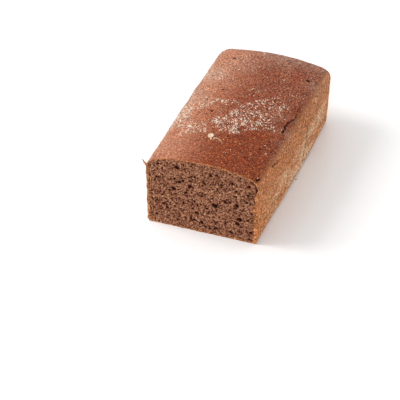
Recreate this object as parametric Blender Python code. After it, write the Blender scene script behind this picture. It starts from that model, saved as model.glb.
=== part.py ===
"""A rye tin loaf with its first slices cut off.

Blender 4.5, metres, +Z up. The loaf rests on Z = 0 and its cut face looks along -Y.
Its skin is a loft of sections from the cut to the far end. Small pieces that stick to the
crust are joined to it, and pores, pits, splits and tin creases are cut from it.
"""

import math
import random

import bmesh
import bpy
from mathutils import Matrix, Vector, noise
from mathutils.bvhtree import BVHTree

MM = 0.001
SEED = 11

# Driving sizes of the loaf
LENGTH = 194 * MM
SHOULDER_WIDTH = 100 * MM
BASE_WIDTH = 0.966 * SHOULDER_WIDTH
SHOULDER_HEIGHT = 62.4 * MM
CROWN_AT_CUT = 7.8 * MM
CROWN_AT_END = 5.9 * MM
SHOULDER_RADIUS = 9.8 * MM
BASE_RADIUS = 4 * MM

# How the tin and the oven left the walls and the far end
RIGHT_BOW = 2.1 * MM
LEFT_BOW = 1.1 * MM
FOOT_DRAWN_IN = 1.4 * MM
FOOT_DRAW_LENGTH = 40 * MM
END_LEAN = 1.9 * MM
RIGHT_CORNER_RADIUS = 8.2 * MM
LEFT_CORNER_RADIUS = 11.4 * MM
END_TOP_RADIUS = 25.3 * MM
END_BASE_RADIUS = 8.2 * MM
END_BULGE = 0.9 * MM
SWELL = 0.55 * MM
SWELL_LENGTH = 26 * MM
RIPPLE = 0.22 * MM
RIPPLE_LENGTH = 8 * MM

# The crust at the cut
CRUST = 1.3 * MM
CRUMB_RECESS = 0.35 * MM
AT_CUT = 0.1 * MM

# Points of a half section, from the base's middle to the dome's
BASE_STEPS = 3
BASE_CORNER_STEPS = 3
SIDE_STEPS = 9
SHOULDER_STEPS = 6
DOME_STEPS = 9
STRAIGHT_RINGS = 26
END_RINGS = 8
END_CAP_SHARES = (0.72, 0.4)

# Pores of the cut face: the large ones as (across, height, width, height of the pore)
LARGE_PORES = (
    (10.8, 29.7, 4.6, 4.2),
    (32.7, 21.0, 4.4, 3.8),
    (31.0, 15.8, 3.8, 2.6),
    (-5.0, 18.3, 5.2, 2.4),
    (-0.6, 9.4, 2.6, 3.4),
    (-6.8, 10.4, 3.4, 2.0),
    (-22.7, 60.2, 3.6, 3.0),
    (-25.1, 38.3, 3.8, 3.0),
    (-20.0, 46.0, 3.4, 2.2),
    (-30.9, 17.2, 3.0, 2.2),
    (30.5, 34.6, 3.2, 3.2),
    (28.9, 43.7, 3.4, 2.2),
    (38.6, 40.0, 2.6, 2.4),
    (20.6, 35.6, 2.8, 3.0),
    (-10.7, 43.8, 2.4, 2.8),
    (25.5, 5.4, 4.6, 1.9),
)
PORE_COUNT = 105
PORE_WIDTH = (1.3 * MM, 2.4 * MM)
PORE_DEPTH = 0.75
PORE_GAP = 0.35 * MM
PORE_TRIES = 6000

# Pits of the crust: (across, distance from the cut, width), seen from above
CRUST_PITS = (
    (-30.6, 162.0, 2.0),
    (-22.2, 111.6, 1.9),
    (-19.9, 77.3, 2.0),
    (40.4, 153.6, 2.6),
    (-30.3, 94.6, 1.4),
    (10.3, 110.8, 1.3),
    (6.4, 45.5, 1.4),
    (36.2, 41.7, 1.5),
    (28.4, 25.0, 1.4),
    (46.6, 6.5, 3.8),
    (-40.0, 132.0, 1.5),
    (18.0, 168.0, 1.6),
)

# Splits at the right shoulder: (across, distance from the cut), seen from above
SHOULDER_SPLIT = ((45.6, 74), (44.0, 82), (44.6, 88), (46.0, 95), (47.2, 103), (45.6, 113))
SHOULDER_SPLIT_WIDTH = 1.5 * MM
SHOULDER_SPLIT_DEPTH = 3.2 * MM
# Splits and tin creases of the walls: (distance from the cut, height), seen from the side
WALL_SPLIT = ((33, 59), (41, 56.5), (48, 55.8), (57, 53.5))
WALL_SPLIT_WIDTH = 0.9 * MM
WALL_SPLIT_DEPTH = 1.8 * MM
RIGHT_CREASES = (((125, 40), (122.5, 29), (118.5, 9)), ((151, 52), (148, 36), (146, 18)))
LEFT_CREASES = (((138, 46), (141, 30), (139, 12)), ((62, 38), (60, 24), (61, 10)))
CREASE_WIDTH = 1.1 * MM
CREASE_DEPTH = 0.5 * MM
LIP = 0.5 * MM

# Small pieces on the crust
FLAKE_AT = (-7.1, 40.6)
FLAKE_WIDTH = 5.2 * MM
FLAKE_THICKNESS = 1.5 * MM
HUSK_ROUTE = ((-3.9, 38.8), (-1.0, 38.6), (2.4, 36.6), (5.9, 33.0))
HUSK_WIDTH = 0.8 * MM
SHRED_ROUTE = ((-48.8, 1.4, 55.6), (-50.6, 1.2, 57.4), (-51.8, 1.0, 59.4), (-52.7, 0.9, 61.3))
SHRED_WIDTH = 2.6 * MM
SHRED_THICKNESS = 1.3 * MM
EDGE_CRUMBS = 12
CRUMB_WIDTH = (1.3 * MM, 2.2 * MM)

CRUST_COLOUR = (0.27, 0.095, 0.045, 1)
CRUMB_COLOUR = (0.22, 0.105, 0.06, 1)


def clear_scene():
    for found in list(bpy.data.objects):
        bpy.data.objects.remove(found, do_unlink=True)


def finish(name, colour, roughness):
    """A plain material of one colour."""
    made = bpy.data.materials.new(name)
    made.use_nodes = True
    shader = made.node_tree.nodes["Principled BSDF"]
    shader.inputs["Base Color"].default_value = colour
    shader.inputs["Roughness"].default_value = roughness
    shader.inputs["Metallic"].default_value = 0
    return made


def half_section(crown):
    """The right half of a section as (across, height): base, leaning wall, shoulder and dome."""
    base, shoulder = BASE_WIDTH / 2, SHOULDER_WIDTH / 2
    flat = base - BASE_RADIUS
    points = [(flat * k / BASE_STEPS, 0.0) for k in range(BASE_STEPS + 1)]
    for k in range(1, BASE_CORNER_STEPS + 1):
        turn = math.pi / 2 * k / BASE_CORNER_STEPS
        points.append((flat + BASE_RADIUS * math.sin(turn), BASE_RADIUS * (1 - math.cos(turn))))
    lean = (shoulder - base) / SHOULDER_HEIGHT
    wall_top = SHOULDER_HEIGHT - SHOULDER_RADIUS
    for k in range(1, SIDE_STEPS + 1):
        height = BASE_RADIUS + (wall_top - BASE_RADIUS) * k / SIDE_STEPS
        points.append((base + lean * height, height))
    radius = (shoulder**2 + crown**2) / (2 * crown)
    centre = SHOULDER_HEIGHT + crown - radius
    dome_start = math.asin((shoulder - SHOULDER_RADIUS) / radius)
    wall_end = Vector(points[-1])
    dome_end = Vector((radius * math.sin(dome_start), centre + radius * math.cos(dome_start)))
    corner = Vector((shoulder, SHOULDER_HEIGHT))
    for k in range(1, SHOULDER_STEPS + 1):
        t = k / SHOULDER_STEPS
        bend = wall_end * (1 - t) ** 2 + corner * 2 * t * (1 - t) + dome_end * t**2
        points.append(tuple(bend))
    for k in range(1, DOME_STEPS + 1):
        turn = dome_start * (1 - k / DOME_STEPS)
        points.append((radius * math.sin(turn), centre + radius * math.cos(turn)))
    return points


def comes_in(along, radius):
    """How far a wall has come in at this distance from the cut, for an end rounding."""
    share = min(max((along - (LENGTH - radius)) / radius, 0), 1)
    return radius * (1 - math.sqrt(1 - share**2))


def ring_at(along):
    """The section's points in space at this distance from the cut, right half first."""
    crown = CROWN_AT_CUT + (CROWN_AT_END - CROWN_AT_CUT) * along / LENGTH
    half = half_section(crown)
    whole = half + [(-x, z) for x, z in reversed(half[1:-1])]
    half_width = SHOULDER_WIDTH / 2
    height = SHOULDER_HEIGHT + crown
    foot = comes_in(along, END_BASE_RADIUS)
    kept = height - foot - comes_in(along, END_TOP_RADIUS)
    drawn_in = FOOT_DRAWN_IN * (1 - math.exp(-along / FOOT_DRAW_LENGTH))
    ring = []
    for x, z in whole:
        bow = (RIGHT_BOW if x > 0 else LEFT_BOW) * math.sin(math.pi * along / LENGTH)
        if x > 0:
            bow -= drawn_in * max(1 - z / (SHOULDER_HEIGHT - SHOULDER_RADIUS), 0)
        corner = comes_in(along, RIGHT_CORNER_RADIUS if x > 0 else LEFT_CORNER_RADIUS)
        narrowed = 1 - corner / half_width
        across = x * narrowed + x / half_width * bow
        up = foot + z * kept / height
        ring.append(Vector((across, along + END_LEAN * up / SHOULDER_HEIGHT * along / LENGTH, up)))
    return ring


def ring_distances():
    """Distances from the cut: even along the loaf, then closer round the far end."""
    straight = LENGTH - END_TOP_RADIUS
    distances = [straight * k / STRAIGHT_RINGS for k in range(STRAIGHT_RINGS)]
    for k in range(END_RINGS + 1):
        distances.append(straight + END_TOP_RADIUS * math.sin(math.pi / 2 * k / END_RINGS))
    return distances


def lofted_skin():
    """The closed skin: walls, a far end that bulges a little, and a cut face set in from its rim."""
    mesh = bmesh.new()
    rings = [ring_at(along) for along in ring_distances()]
    last = rings[-1]
    middle = sum(last, Vector()) / len(last)
    for share in END_CAP_SHARES:
        bulge = Vector((0, END_BULGE * (1 - share**2), 0))
        rings.append([middle.lerp(point, share) + bulge for point in last])
    rows = [[mesh.verts.new(point) for point in ring] for ring in rings]
    count = len(last)
    for near, far in zip(rows, rows[1:]):
        for k in range(count):
            after = (k + 1) % count
            mesh.faces.new((near[k], near[after], far[after], far[k]))
    tip = mesh.verts.new(middle + Vector((0, END_BULGE, 0)))
    for k in range(count):
        mesh.faces.new((rows[-1][k], rows[-1][(k + 1) % count], tip))
    cut = mesh.faces.new(list(reversed(rows[0])))
    bmesh.ops.recalc_face_normals(mesh, faces=mesh.faces)
    swell_crust(mesh)
    bmesh.ops.inset_region(mesh, faces=[cut], thickness=CRUST, depth=-CRUMB_RECESS)
    cut.material_index = 1
    bmesh.ops.triangulate(mesh, faces=[f for f in mesh.faces if f is not cut])
    return mesh


def swell_crust(mesh):
    """Moves the walls and dome in and out a little, and leaves the base and the cut flat."""
    mesh.normal_update()
    moves = []
    for vertex in mesh.verts:
        amount = SWELL * noise.noise(vertex.co / SWELL_LENGTH)
        amount += RIPPLE * noise.noise(vertex.co / RIPPLE_LENGTH)
        move = vertex.normal * amount * min(vertex.co.z / BASE_RADIUS, 1)
        if vertex.co.y < AT_CUT:
            move.y = 0
        moves.append((vertex, move))
    for vertex, move in moves:
        vertex.co += move


def on_skin(tree, start, direction):
    """Where a ray meets the skin, and the skin's normal there."""
    place, normal, _, _ = tree.ray_cast(start, direction)
    return place, normal


def from_above(tree, across, along):
    return on_skin(tree, Vector((across * MM, along * MM, 2 * SHOULDER_HEIGHT)), Vector((0, 0, -1)))


def from_side(tree, side, along, height):
    start = Vector((side * SHOULDER_WIDTH, along * MM, height * MM))
    return on_skin(tree, start, Vector((-side, 0, 0)))


def add_lump(mesh, place, sizes, turn, draw, fine=False):
    """A rough lump of 20 faces, or 80 where it is large, with its points pushed about."""
    spread = Matrix.Diagonal((*(size / 2 for size in sizes), 1))
    made = bmesh.ops.create_icosphere(
        mesh, subdivisions=2 if fine else 1, radius=1, matrix=Matrix.Translation(place) @ turn @ spread
    )
    for vertex in made["verts"]:
        vertex.co = place + (vertex.co - place) * draw.uniform(0.82, 1.12)


def free_of(places, place, width):
    return all((place - other).length > (width + other_width) / 2 + PORE_GAP for other, other_width in places)


def add_pores(mesh, draw):
    """Pores of the cut face: the large ones where they show, then small ones wherever they fit."""
    places = []
    for across, height, width, tall in LARGE_PORES:
        place = Vector((across * MM, CRUMB_RECESS, height * MM))
        turn = Matrix.Rotation(draw.uniform(-0.5, 0.5), 4, "Y")
        depth = PORE_DEPTH * 2 * min(width, tall)
        add_lump(mesh, place, (width * MM, depth * MM, tall * MM), turn, draw, fine=True)
        places.append((place, max(width, tall) * MM))
    wanted = len(places) + PORE_COUNT
    margin = CRUST + 1.5 * MM
    for _ in range(PORE_TRIES):
        if len(places) == wanted:
            break
        width = draw.uniform(*PORE_WIDTH)
        across = draw.uniform(-1, 1) * (BASE_WIDTH / 2 - margin)
        dome = CROWN_AT_CUT * (1 - (2 * across / SHOULDER_WIDTH) ** 2)
        height = draw.uniform(margin, SHOULDER_HEIGHT + dome - margin - 1.5 * MM)
        place = Vector((across, CRUMB_RECESS, height))
        if not free_of(places, place, width):
            continue
        turn = Matrix.Rotation(draw.uniform(0, math.pi), 4, "Y")
        sizes = (width * draw.uniform(1, 1.5), 2 * PORE_DEPTH * width, width)
        add_lump(mesh, place, sizes, turn, draw)
        places.append((place, width))


def add_pits(mesh, tree, draw):
    """Burst bubbles of the top crust."""
    for across, along, width in CRUST_PITS:
        place, normal = from_above(tree, across, along)
        turn = normal.to_track_quat("Z", "Y").to_matrix().to_4x4()
        sizes = (width * 1.3 * MM, width * MM, width * 1.1 * MM)
        add_lump(mesh, place, sizes, turn, draw, fine=width > 3)


def add_groove(mesh, stations, width, depth):
    """A V-shaped cutter along stations of (place, normal), narrowing to both ends."""
    rows = []
    last = len(stations) - 1
    for k, (place, normal) in enumerate(stations):
        ahead = stations[min(k + 1, last)][0] - stations[max(k - 1, 0)][0]
        side = ahead.cross(normal).normalized() * width / 2
        share = 0.25 if k in (0, last) else 1
        top = place + normal * LIP
        corners = (top + side * share, top - side * share, place - normal * depth * share)
        rows.append([mesh.verts.new(corner) for corner in corners])
    for near, far in zip(rows, rows[1:]):
        for k in range(3):
            after = (k + 1) % 3
            mesh.faces.new((near[k], near[after], far[after], far[k]))
    mesh.faces.new(rows[0])
    mesh.faces.new(list(reversed(rows[-1])))


def cutter(tree):
    """Everything that is cut from the loaf, as one hidden object."""
    draw = random.Random(SEED)
    mesh = bmesh.new()
    add_pores(mesh, draw)
    add_pits(mesh, tree, draw)
    split = [from_above(tree, *spot) for spot in SHOULDER_SPLIT]
    add_groove(mesh, split, SHOULDER_SPLIT_WIDTH, SHOULDER_SPLIT_DEPTH)
    split = [from_side(tree, 1, *spot) for spot in WALL_SPLIT]
    add_groove(mesh, split, WALL_SPLIT_WIDTH, WALL_SPLIT_DEPTH)
    for side, creases in ((1, RIGHT_CREASES), (-1, LEFT_CREASES)):
        for crease in creases:
            stations = [from_side(tree, side, *spot) for spot in crease]
            add_groove(mesh, stations, CREASE_WIDTH, CREASE_DEPTH)
    bmesh.ops.recalc_face_normals(mesh, faces=mesh.faces)
    made = as_object("pore_cutter", mesh, bpy.context.scene.collection)
    made.hide_render = True
    made.display_type = "WIRE"
    return made


def as_object(name, mesh, collection):
    data = bpy.data.meshes.new(name)
    mesh.to_mesh(data)
    mesh.free()
    made = bpy.data.objects.new(name, data)
    collection.objects.link(made)
    return made


def strand(name, stations, width, thickness, collection):
    """A thin four-sided strand along stations of (place, normal), pointed at its far end."""
    mesh = bmesh.new()
    rows = []
    last = len(stations) - 1
    for k, (place, normal) in enumerate(stations):
        ahead = stations[min(k + 1, last)][0] - stations[max(k - 1, 0)][0]
        side = ahead.cross(normal).normalized() * width / 2
        share = 1 - 0.7 * k / last
        rise = normal * thickness / 2
        corners = (side * share, rise, -side * share, -rise)
        rows.append([mesh.verts.new(place + corner) for corner in corners])
    for near, far in zip(rows, rows[1:]):
        for k in range(4):
            after = (k + 1) % 4
            mesh.faces.new((near[k], near[after], far[after], far[k]))
    mesh.faces.new(rows[0])
    mesh.faces.new(list(reversed(rows[-1])))
    bmesh.ops.recalc_face_normals(mesh, faces=mesh.faces)
    as_object(name, mesh, collection)


def flake(tree, collection):
    """The oat flake on the dome: a thick disc with a groove, half sunk in the crust."""
    place, normal = from_above(tree, *FLAKE_AT)
    turn = normal.to_track_quat("Z", "Y").to_matrix().to_4x4()
    spread = Matrix.Diagonal((FLAKE_WIDTH / 2, 0.86 * FLAKE_WIDTH / 2, FLAKE_THICKNESS / 2, 1))
    mesh = bmesh.new()
    bmesh.ops.create_uvsphere(
        mesh, u_segments=12, v_segments=6, radius=1, matrix=Matrix.Translation(place) @ turn @ spread
    )
    as_object("flake", mesh, collection)


def rim_crumb(draw):
    """A place on the frayed lower and right rim of the cut, and a size."""
    width = draw.uniform(*CRUMB_WIDTH)
    if draw.random() < 0.6:
        place = Vector((draw.uniform(-0.9, 0.95) * BASE_WIDTH / 2, 0, 0.62 * width))
    else:
        height = draw.uniform(0.1, 0.85) * SHOULDER_HEIGHT
        lean = (SHOULDER_WIDTH - BASE_WIDTH) / 2 * height / SHOULDER_HEIGHT
        place = Vector((BASE_WIDTH / 2 + lean - 0.4 * width, 0, height))
    return place, width


def stuck_pieces(tree, collection):
    """The flake, the husk, the torn shred and the rim's crumbs."""
    draw = random.Random(SEED + 1)
    flake(tree, collection)
    husk = [from_above(tree, *spot) for spot in HUSK_ROUTE]
    strand("husk", husk, HUSK_WIDTH, HUSK_WIDTH, collection)
    forward = Vector((0, -1, 0))
    shred = [(Vector(spot) * MM, forward) for spot in SHRED_ROUTE]
    strand("shred", shred, SHRED_WIDTH, SHRED_THICKNESS, collection)
    for k in range(EDGE_CRUMBS):
        mesh = bmesh.new()
        place, width = rim_crumb(draw)
        turn = Matrix.Rotation(draw.uniform(0, math.pi), 4, "Y")
        add_lump(mesh, place, (width, width, 0.8 * width), turn, draw)
        as_object(f"crumb_{k}", mesh, collection)


def apply_modifiers(made):
    """Gives the object the mesh that its modifiers make, and removes them."""
    graph = bpy.context.evaluated_depsgraph_get()
    data = bpy.data.meshes.new_from_object(made.evaluated_get(graph))
    made.modifiers.clear()
    made.data = data


def join(made, collection):
    """Unites the collection's objects with this one, then removes them."""
    union = made.modifiers.new("stuck pieces", "BOOLEAN")
    union.operation = "UNION"
    union.operand_type = "COLLECTION"
    union.collection = collection
    union.solver = "EXACT"
    apply_modifiers(made)
    for found in list(collection.objects):
        bpy.data.objects.remove(found, do_unlink=True)
    bpy.data.collections.remove(collection)


def cut_away(made, other):
    difference = made.modifiers.new("pores and splits", "BOOLEAN")
    difference.operation = "DIFFERENCE"
    difference.object = other
    difference.solver = "EXACT"
    apply_modifiers(made)
    bpy.data.objects.remove(other, do_unlink=True)


def centre_on_base(made):
    """Puts the origin at the middle of the loaf's box, on the surface that it rests on."""
    corners = [Vector(corner) for corner in made.bound_box]
    low = Vector(min(corner[k] for corner in corners) for k in range(3))
    high = Vector(max(corner[k] for corner in corners) for k in range(3))
    middle = (low + high) / 2
    made.data.transform(Matrix.Translation((-middle.x, -middle.y, -low.z)))


def build_loaf():
    skin = lofted_skin()
    tree = BVHTree.FromBMesh(skin)
    loaf = as_object("loaf", skin, bpy.context.scene.collection)
    loaf.data.materials.append(finish("crust", CRUST_COLOUR, 0.75))
    loaf.data.materials.append(finish("crumb", CRUMB_COLOUR, 0.9))
    stuck = bpy.data.collections.new("stuck pieces")
    bpy.context.scene.collection.children.link(stuck)
    stuck_pieces(tree, stuck)
    join(loaf, stuck)
    cut_away(loaf, cutter(tree))
    centre_on_base(loaf)
    loaf.data.shade_smooth()
    loaf.data.set_sharp_from_angle(angle=math.radians(35))


def main():
    clear_scene()
    build_loaf()


main()
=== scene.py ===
"""Looks of the cut rye tin loaf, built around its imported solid.

The loaf node is replaced by a crust shell and a crumb slab that sits in the shell's cut end.
Flour grains, bran, an oat flake, a husk, a torn shred and rim crumbs lie on them. Lengths
named in millimetres are turned to metres where a mesh is made.
"""

import math
import random

import bmesh
import bpy
import numpy as np
from bpy.props import FloatProperty, FloatVectorProperty, IntProperty, PointerProperty
from mathutils import Matrix, Vector, noise
from mathutils.bvhtree import BVHTree


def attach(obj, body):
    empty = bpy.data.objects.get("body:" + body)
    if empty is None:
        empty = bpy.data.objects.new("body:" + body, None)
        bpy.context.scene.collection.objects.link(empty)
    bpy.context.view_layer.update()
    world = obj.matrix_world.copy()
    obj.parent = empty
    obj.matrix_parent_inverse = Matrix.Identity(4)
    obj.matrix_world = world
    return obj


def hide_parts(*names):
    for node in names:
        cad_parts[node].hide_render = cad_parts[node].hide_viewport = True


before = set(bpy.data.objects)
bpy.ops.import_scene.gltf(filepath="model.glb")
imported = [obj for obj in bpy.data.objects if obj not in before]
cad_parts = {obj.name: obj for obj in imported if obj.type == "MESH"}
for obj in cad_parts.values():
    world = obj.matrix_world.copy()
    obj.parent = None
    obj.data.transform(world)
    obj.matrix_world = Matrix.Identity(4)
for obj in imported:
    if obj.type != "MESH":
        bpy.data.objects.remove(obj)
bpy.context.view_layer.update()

bl_info = {
    "name": "Rye tin loaf",
    "version": (1, 0, 0),
    "blender": (4, 5, 0),
    "location": "3D View > Sidebar > Rye loaf",
    "description": "Builds a cut rye tin loaf with a floured crust and a pored crumb",
    "category": "Add Mesh",
}

MM = 0.001
NODE = "loaf"
BODY = "root"

# The solid's frame: its cut plane, and the middle of its section
CUT_AT = -97.42
MIDDLE_AT = 0.522

# The solid's sizes in millimetres
LENGTH = 194.0
SHOULDER_WIDTH = 100.0
BASE_WIDTH = 96.6
SHOULDER_HEIGHT = 62.4
CROWN_AT_CUT = 7.8
CROWN_AT_END = 5.9
SHOULDER_RADIUS = 9.8
BASE_RADIUS = 4.0
RIGHT_BOW = 2.1
LEFT_BOW = 1.1
FOOT_DRAWN_IN = 1.4
FOOT_DRAW_LENGTH = 40.0
END_LEAN = 1.9
RIGHT_CORNER_RADIUS = 8.2
LEFT_CORNER_RADIUS = 11.4
END_TOP_RADIUS = 25.3
END_BASE_RADIUS = 8.2
END_BULGE = 0.9
SWELL = 0.55
SWELL_LENGTH = 26.0
RIPPLE = 0.22
RIPPLE_LENGTH = 8.0
CRUMB_RECESS = 0.35

# Grid of the crust shell
BASE_STEPS = 10
BASE_CORNER_STEPS = 7
WALL_STEPS = 58
SHOULDER_STEPS = 19
DOME_STEPS = 48
STRAIGHT_RINGS = 205
END_RINGS = 46
END_CAP_ROWS = 18
RIM_ROWS = 4
RECESS_DEPTH = 4.6
RECESS_RINGS = (RECESS_DEPTH, 2.2, 0.7)
RECESS_SHARES = (0.3, 0.65)

# Grid of the crumb slab
CRUMB_COLUMNS = 352
CRUMB_ROWS = 238
SLAB_BACK = 4.5
SLAB_OVERLAP = 0.12
DEEPEST_PORE = 3.6

# The solid's pores in the crumb: those deeper than a limit are widened, and all are deepened
WIDENED_PORE_DEPTH = 1.1
WIDENED_CELLS = 2
WIDENED_SHARE = 0.8
PORE_DEEPENING = 2.0

# Seen from above, as (across, distance from the cut): the split of the right shoulder and the
# tear at the cut's corner
SHOULDER_SPLIT = (
    (44.1, 72.7),
    (45.0, 77.1),
    (44.0, 83.0),
    (44.3, 87.6),
    (45.6, 91.4),
    (46.7, 96.7),
    (47.1, 102.7),
    (46.1, 108.6),
    (45.0, 113.2),
)
CORNER_TEAR = ((46.0, 1.2), (46.3, 3.9), (47.0, 6.4), (48.3, 8.5))

# Seen from the right, as (distance from the cut, height): the split below the shoulder
WALL_SPLIT = ((31.3, 58.7), (39.7, 56.2), (46.8, 55.4), (56.5, 52.4), (65.2, 51.6))

# On the cut face, as (across, height): the gap between crumb and crust at the upper right
RIM_GAP = ((43.0, 62.6), (46.3, 60.9), (47.6, 57.5), (48.0, 52.0), (47.6, 46.0))
RIM_GAP_DEPTH = 2.6

# Tin creases as (side, depth, places), each place as (distance from the cut, height)
CREASES = (
    (1, 0.5, ((123.5, 44), (122.2, 38), (121.7, 24), (116.2, 13), (113.5, 4))),
    (1, 0.35, ((107.5, 38), (106.9, 34), (105.3, 20))),
    (1, 0.2, ((151, 52), (148, 36), (146, 18))),
    (-1, 0.25, ((138, 46), (141, 30), (139, 12))),
    (-1, 0.25, ((62, 38), (60, 24), (61, 10))),
)
CREASE_HALF_WIDTH = 1.9
CREASE_LOST = 0.25

# Pits of the crust as (across, distance from the cut, width)
CRUST_PITS = (
    (-30.6, 162.0, 2.0),
    (-22.2, 111.6, 1.9),
    (-19.9, 77.3, 2.0),
    (40.4, 153.6, 2.6),
    (-30.3, 94.6, 1.4),
    (10.3, 110.8, 1.3),
    (6.4, 45.5, 1.4),
    (36.1, 42.2, 1.7),
    (39.8, 55.3, 1.5),
    (28.4, 25.0, 1.4),
    (-40.0, 132.0, 1.5),
    (18.0, 168.0, 1.6),
)
PIT_RADIUS_SHARE = 0.72

# How near to these marks the shell's grid is refined, and at what depth their painted shade is full
REFINE_WITHIN = 2.4
SPLIT_SHADE_DEPTH = 0.9
CREASE_SHADE_DEPTH = 0.55

# Flour numbers: where grains begin, the span to their full density, and stray grains elsewhere
FLOUR_START = 0.21
FLOUR_SPAN = 0.75
STRAY_FLOUR = 0.006

# The flour band on the dome: (across, distance from the cut) along its near and far edges
FLOUR_NEAR = (
    (-50, 48),
    (-41, 43),
    (-30, 37),
    (-21, 40),
    (-15, 43),
    (-11, 50),
    (-1, 51),
    (9, 51),
    (16, 56),
    (24, 61),
    (41, 66),
    (50, 73),
)
FLOUR_FAR = (
    (-50, 82),
    (-43, 86),
    (-31, 98),
    (-19, 100),
    (-10, 97),
    (-1, 94),
    (6, 100),
    (14, 109),
    (23, 117),
    (38, 116),
    (50, 112),
)
# Patches in it as (across, distance from the cut, half width, half length, amount)
FLOUR_BARE = (
    (-24, 70, 11, 12, 1.0),
    (-12, 87, 14, 6, 0.8),
    (-8, 79, 5, 5, 0.5),
    (-3, 64, 5, 3, 0.4),
    (31, 64, 4, 5, 0.5),
    (10, 95, 12, 4, 0.3),
    (38, 97, 4, 4, 0.6),
    (-30, 94, 7, 4, 0.5),
    (-9, 52, 4, 3, 0.9),
    (18, 77, 3, 4, 0.8),
    (12, 60, 4, 4, 0.8),
    (-14, 56, 4, 5, 0.6),
    (38, 84, 5, 7, 0.6),
    (-35, 74, 4, 6, 0.5),
)
FLOUR_CLUMPS = (
    (10, 66, 6, 7, 0.45),
    (18, 73, 5, 5, 0.5),
    (36, 84, 6, 6, 0.15),
    (30, 104, 5, 5, 0.5),
    (23, 88, 5, 6, 0.3),
    (-43, 64, 6, 9, 0.35),
    (-42, 88, 5, 12, 0.35),
    (-34, 49, 9, 5, 0.3),
    (8, 56, 5, 4, 0.6),
    (-14, 47, 5, 3, 0.4),
    (-11, 66, 6, 7, 0.3),
    (-33, 92, 8, 4, 0.2),
    (-20, 95, 8, 4, 0.2),
    (30, 70, 12, 4, 0.25),
    (-33, 138, 5, 4, 0.3),
)

# Where the light at the left hangs, in metres
KEY_AT = (-0.95, -0.2, 0.9)

# Films of flour, on the left shoulder partly a painted sheen, as (across, distance from the cut, height,
# radius, amount)
HAZE = (
    (47, 40, 61, 8, 0.1),
    (47, 58, 61, 8, 0.15),
    (48, 76, 61, 8, 0.3),
    (36, 94, 66, 12, 0.12),
    (49, 96, 60, 7, 0.2),
    (50, 122, 58, 8, 0.15),
    (48, 150, 58, 14, 0.3),
    (-20, 198, 50, 22, 0.5),
    (10, 186, 66, 26, 0.5),
    (38, 178, 60, 16, 0.3),
    (-22, 160, 68, 20, 0.28),
    (-26, 126, 68, 16, 0.15),
    (-42, 134, 66, 16, 0.6),
    (-48, 100, 62, 16, 0.6),
    (-46, 66, 62, 18, 0.25),
    (-42, 20, 64, 22, 0.2),
)

# The oat flake's place and its husk's route as (across, distance from the cut)
FLAKE_AT = (-7.1, 40.6)
HUSK_ROUTE = ((-3.9, 38.8), (-1.0, 38.6), (2.4, 36.6), (5.9, 33.0))
# Chips beside the flake as (across, distance from the cut, size)
CHIPS = ((-5.6, 36.6, 2.2), (-3.4, 37.8, 1.5), (-5.0, 44.6, 0.9), (-10.6, 37.4, 0.8))
# The torn shred's route, and a loose crumb by the right wall, as (across, distance from the cut, height)
FOOT_CRUMB_AT = (49.6, 97.5, 0.6)
SHRED_ROUTE = ((-48.8, 1.4, 55.6), (-50.6, 1.2, 57.4), (-51.8, 1.0, 59.4), (-52.7, 0.9, 61.3))


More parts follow.
